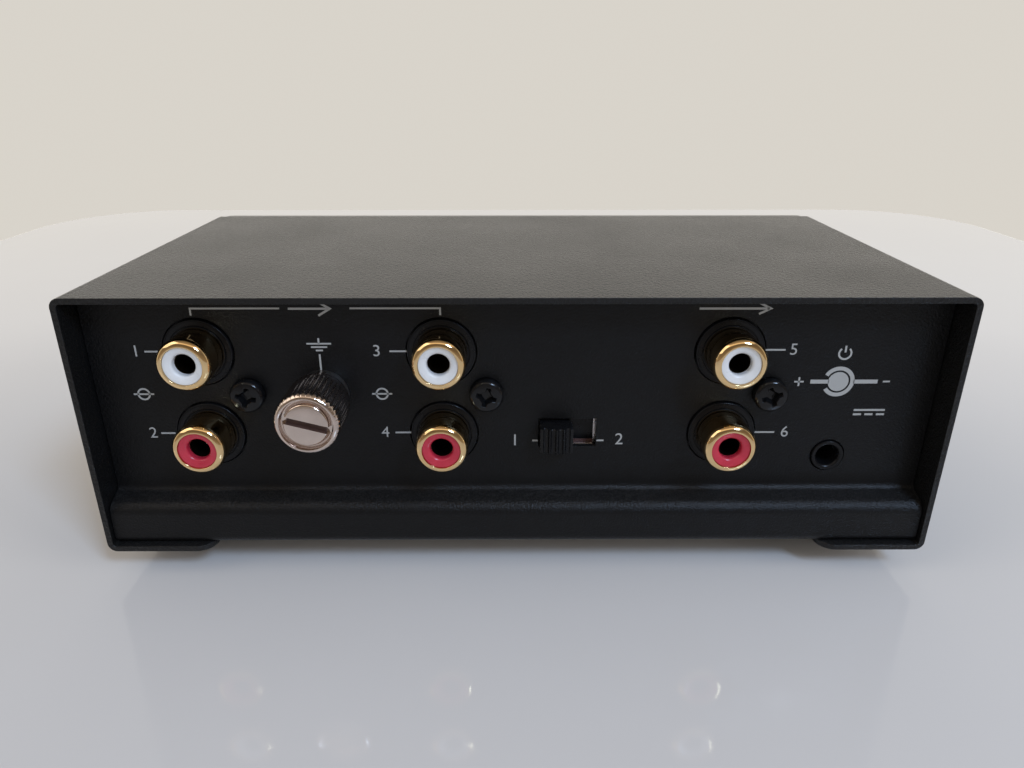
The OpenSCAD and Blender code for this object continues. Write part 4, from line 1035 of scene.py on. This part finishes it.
# %% A world, and helpers for its backgrounds
world = bpy.data.worlds.new("room")
bpy.context.scene.world = world
world.use_nodes = True
tree = world.node_tree
tree.nodes.clear()
path = node(tree, "LightPath").outputs
towards = node(tree, "SeparateXYZ", {0: node(tree, "TexCoord").outputs["Generated"]}).outputs
behind = spread(tree, towards["Y"], -0.3, 0.3)


def background(colour, strength):
    """A plain background of a colour, with a number or a socket as its strength."""
    return node(tree, "Background", {"Color": colour, "Strength": strength}).outputs[0]


def bands(stops, strength):
    """Strength by height in the room, from (sine of the height, level) pairs."""
    made = node(tree, "ValToRGB", {"Fac": towards["Z"]})
    for k, (height, level) in enumerate(stops):
        stop = made.color_ramp.elements[k] if k < 2 else made.color_ramp.elements.new(height)
        stop.position, stop.color = height, (level, level, level, 1.0)
    return maths(tree, "MULTIPLY", made.outputs[0], strength)


print("world helpers ready")

# %% Wall, mirrored room and daylight
WALL, DAYLIGHT, ROOM = (0.69, 0.655, 0.595, 1.0), (1.0, 0.97, 0.94, 1.0), (0.36, 0.29, 0.22, 1.0)
WALL_MIRRORED, ROOM_MIRRORED, EVEN_LIGHT, LOW_LIGHT = 1.8, 3.0, 0.5, 0.7
AHEAD_BANDS = ((0.0, 0.85), (0.17, 0.9), (0.26, 1.0), (0.5, 0.5), (0.8, 0.05))
ROOM_BANDS = ((0.0, 0.22), (0.35, 0.13), (0.62, 0.15), (0.71, 0.9), (0.8, 0.9), (0.9, 0.3))
wall_side = background(WALL, bands(AHEAD_BANDS, WALL_MIRRORED))
room_side = background(ROOM, bands(ROOM_BANDS, ROOM_MIRRORED))
mirrored = node(tree, "MixShader", {0: behind, 1: wall_side, 2: room_side}).outputs[0]
low_down = maths(tree, "MULTIPLY", spread(tree, towards["Z"], 0.5, 0.35, 0.0, LOW_LIGHT), behind)
sky = background(DAYLIGHT, maths(tree, "ADD", low_down, EVEN_LIGHT))
lit = node(tree, "MixShader", {0: path["Is Glossy Ray"], 1: sky, 2: mirrored}).outputs[0]
both = node(tree, "MixShader", {0: path["Is Camera Ray"], 1: lit, 2: background(WALL, 1.0)}).outputs[0]
node(tree, "OutputWorld", {"Surface": both})
print("world of", len(tree.nodes), "nodes")

# %% [markdown]
# A bluish window from the upper right is the main light. A side window, lower down, lights
# what faces right; mirrors don't see it, because its image would lie as a hard white patch
# on the glossy table. A weak warm fill from the left opens the shadows.

# %% Lamps
WINDOW_BLUE, SIDE_WHITE, FILL_WARM = (0.48, 0.68, 1.0), (0.95, 0.97, 1.0), (1.0, 0.92, 0.82)
RIGHT_REAR, MIDDLE = (-0.05, 0.03, 0.014), (0, 0, 0.02)


def lamp(name, place, target, size, power, colour, in_mirrors=True):
    """A rectangular soft light that looks at a target, seen by mirrors or not."""
    light = bpy.data.lights.new(name, "AREA")
    light.shape, (light.size, light.size_y) = "RECTANGLE", size
    light.energy, light.color = power, colour
    holder = bpy.data.objects.new(name, light)
    holder.location = place
    holder.rotation_euler = (Vector(target) - Vector(place)).to_track_quat("-Z", "Y").to_euler()
    holder.visible_glossy = in_mirrors
    bpy.context.scene.collection.objects.link(holder)
    print("lamp", name, power, "W")


lamp("window", (-0.551, 0.738, 0.844), RIGHT_REAR, (0.25, 0.29), 9.4, WINDOW_BLUE)
lamp("side window", (-0.95, 0.42, 0.42), MIDDLE, (0.5, 0.4), 3.3, SIDE_WHITE, in_mirrors=False)
lamp("fill", (0.8, 0.3, 0.7), MIDDLE, (0.7, 0.7), 2.0, FILL_WARM)
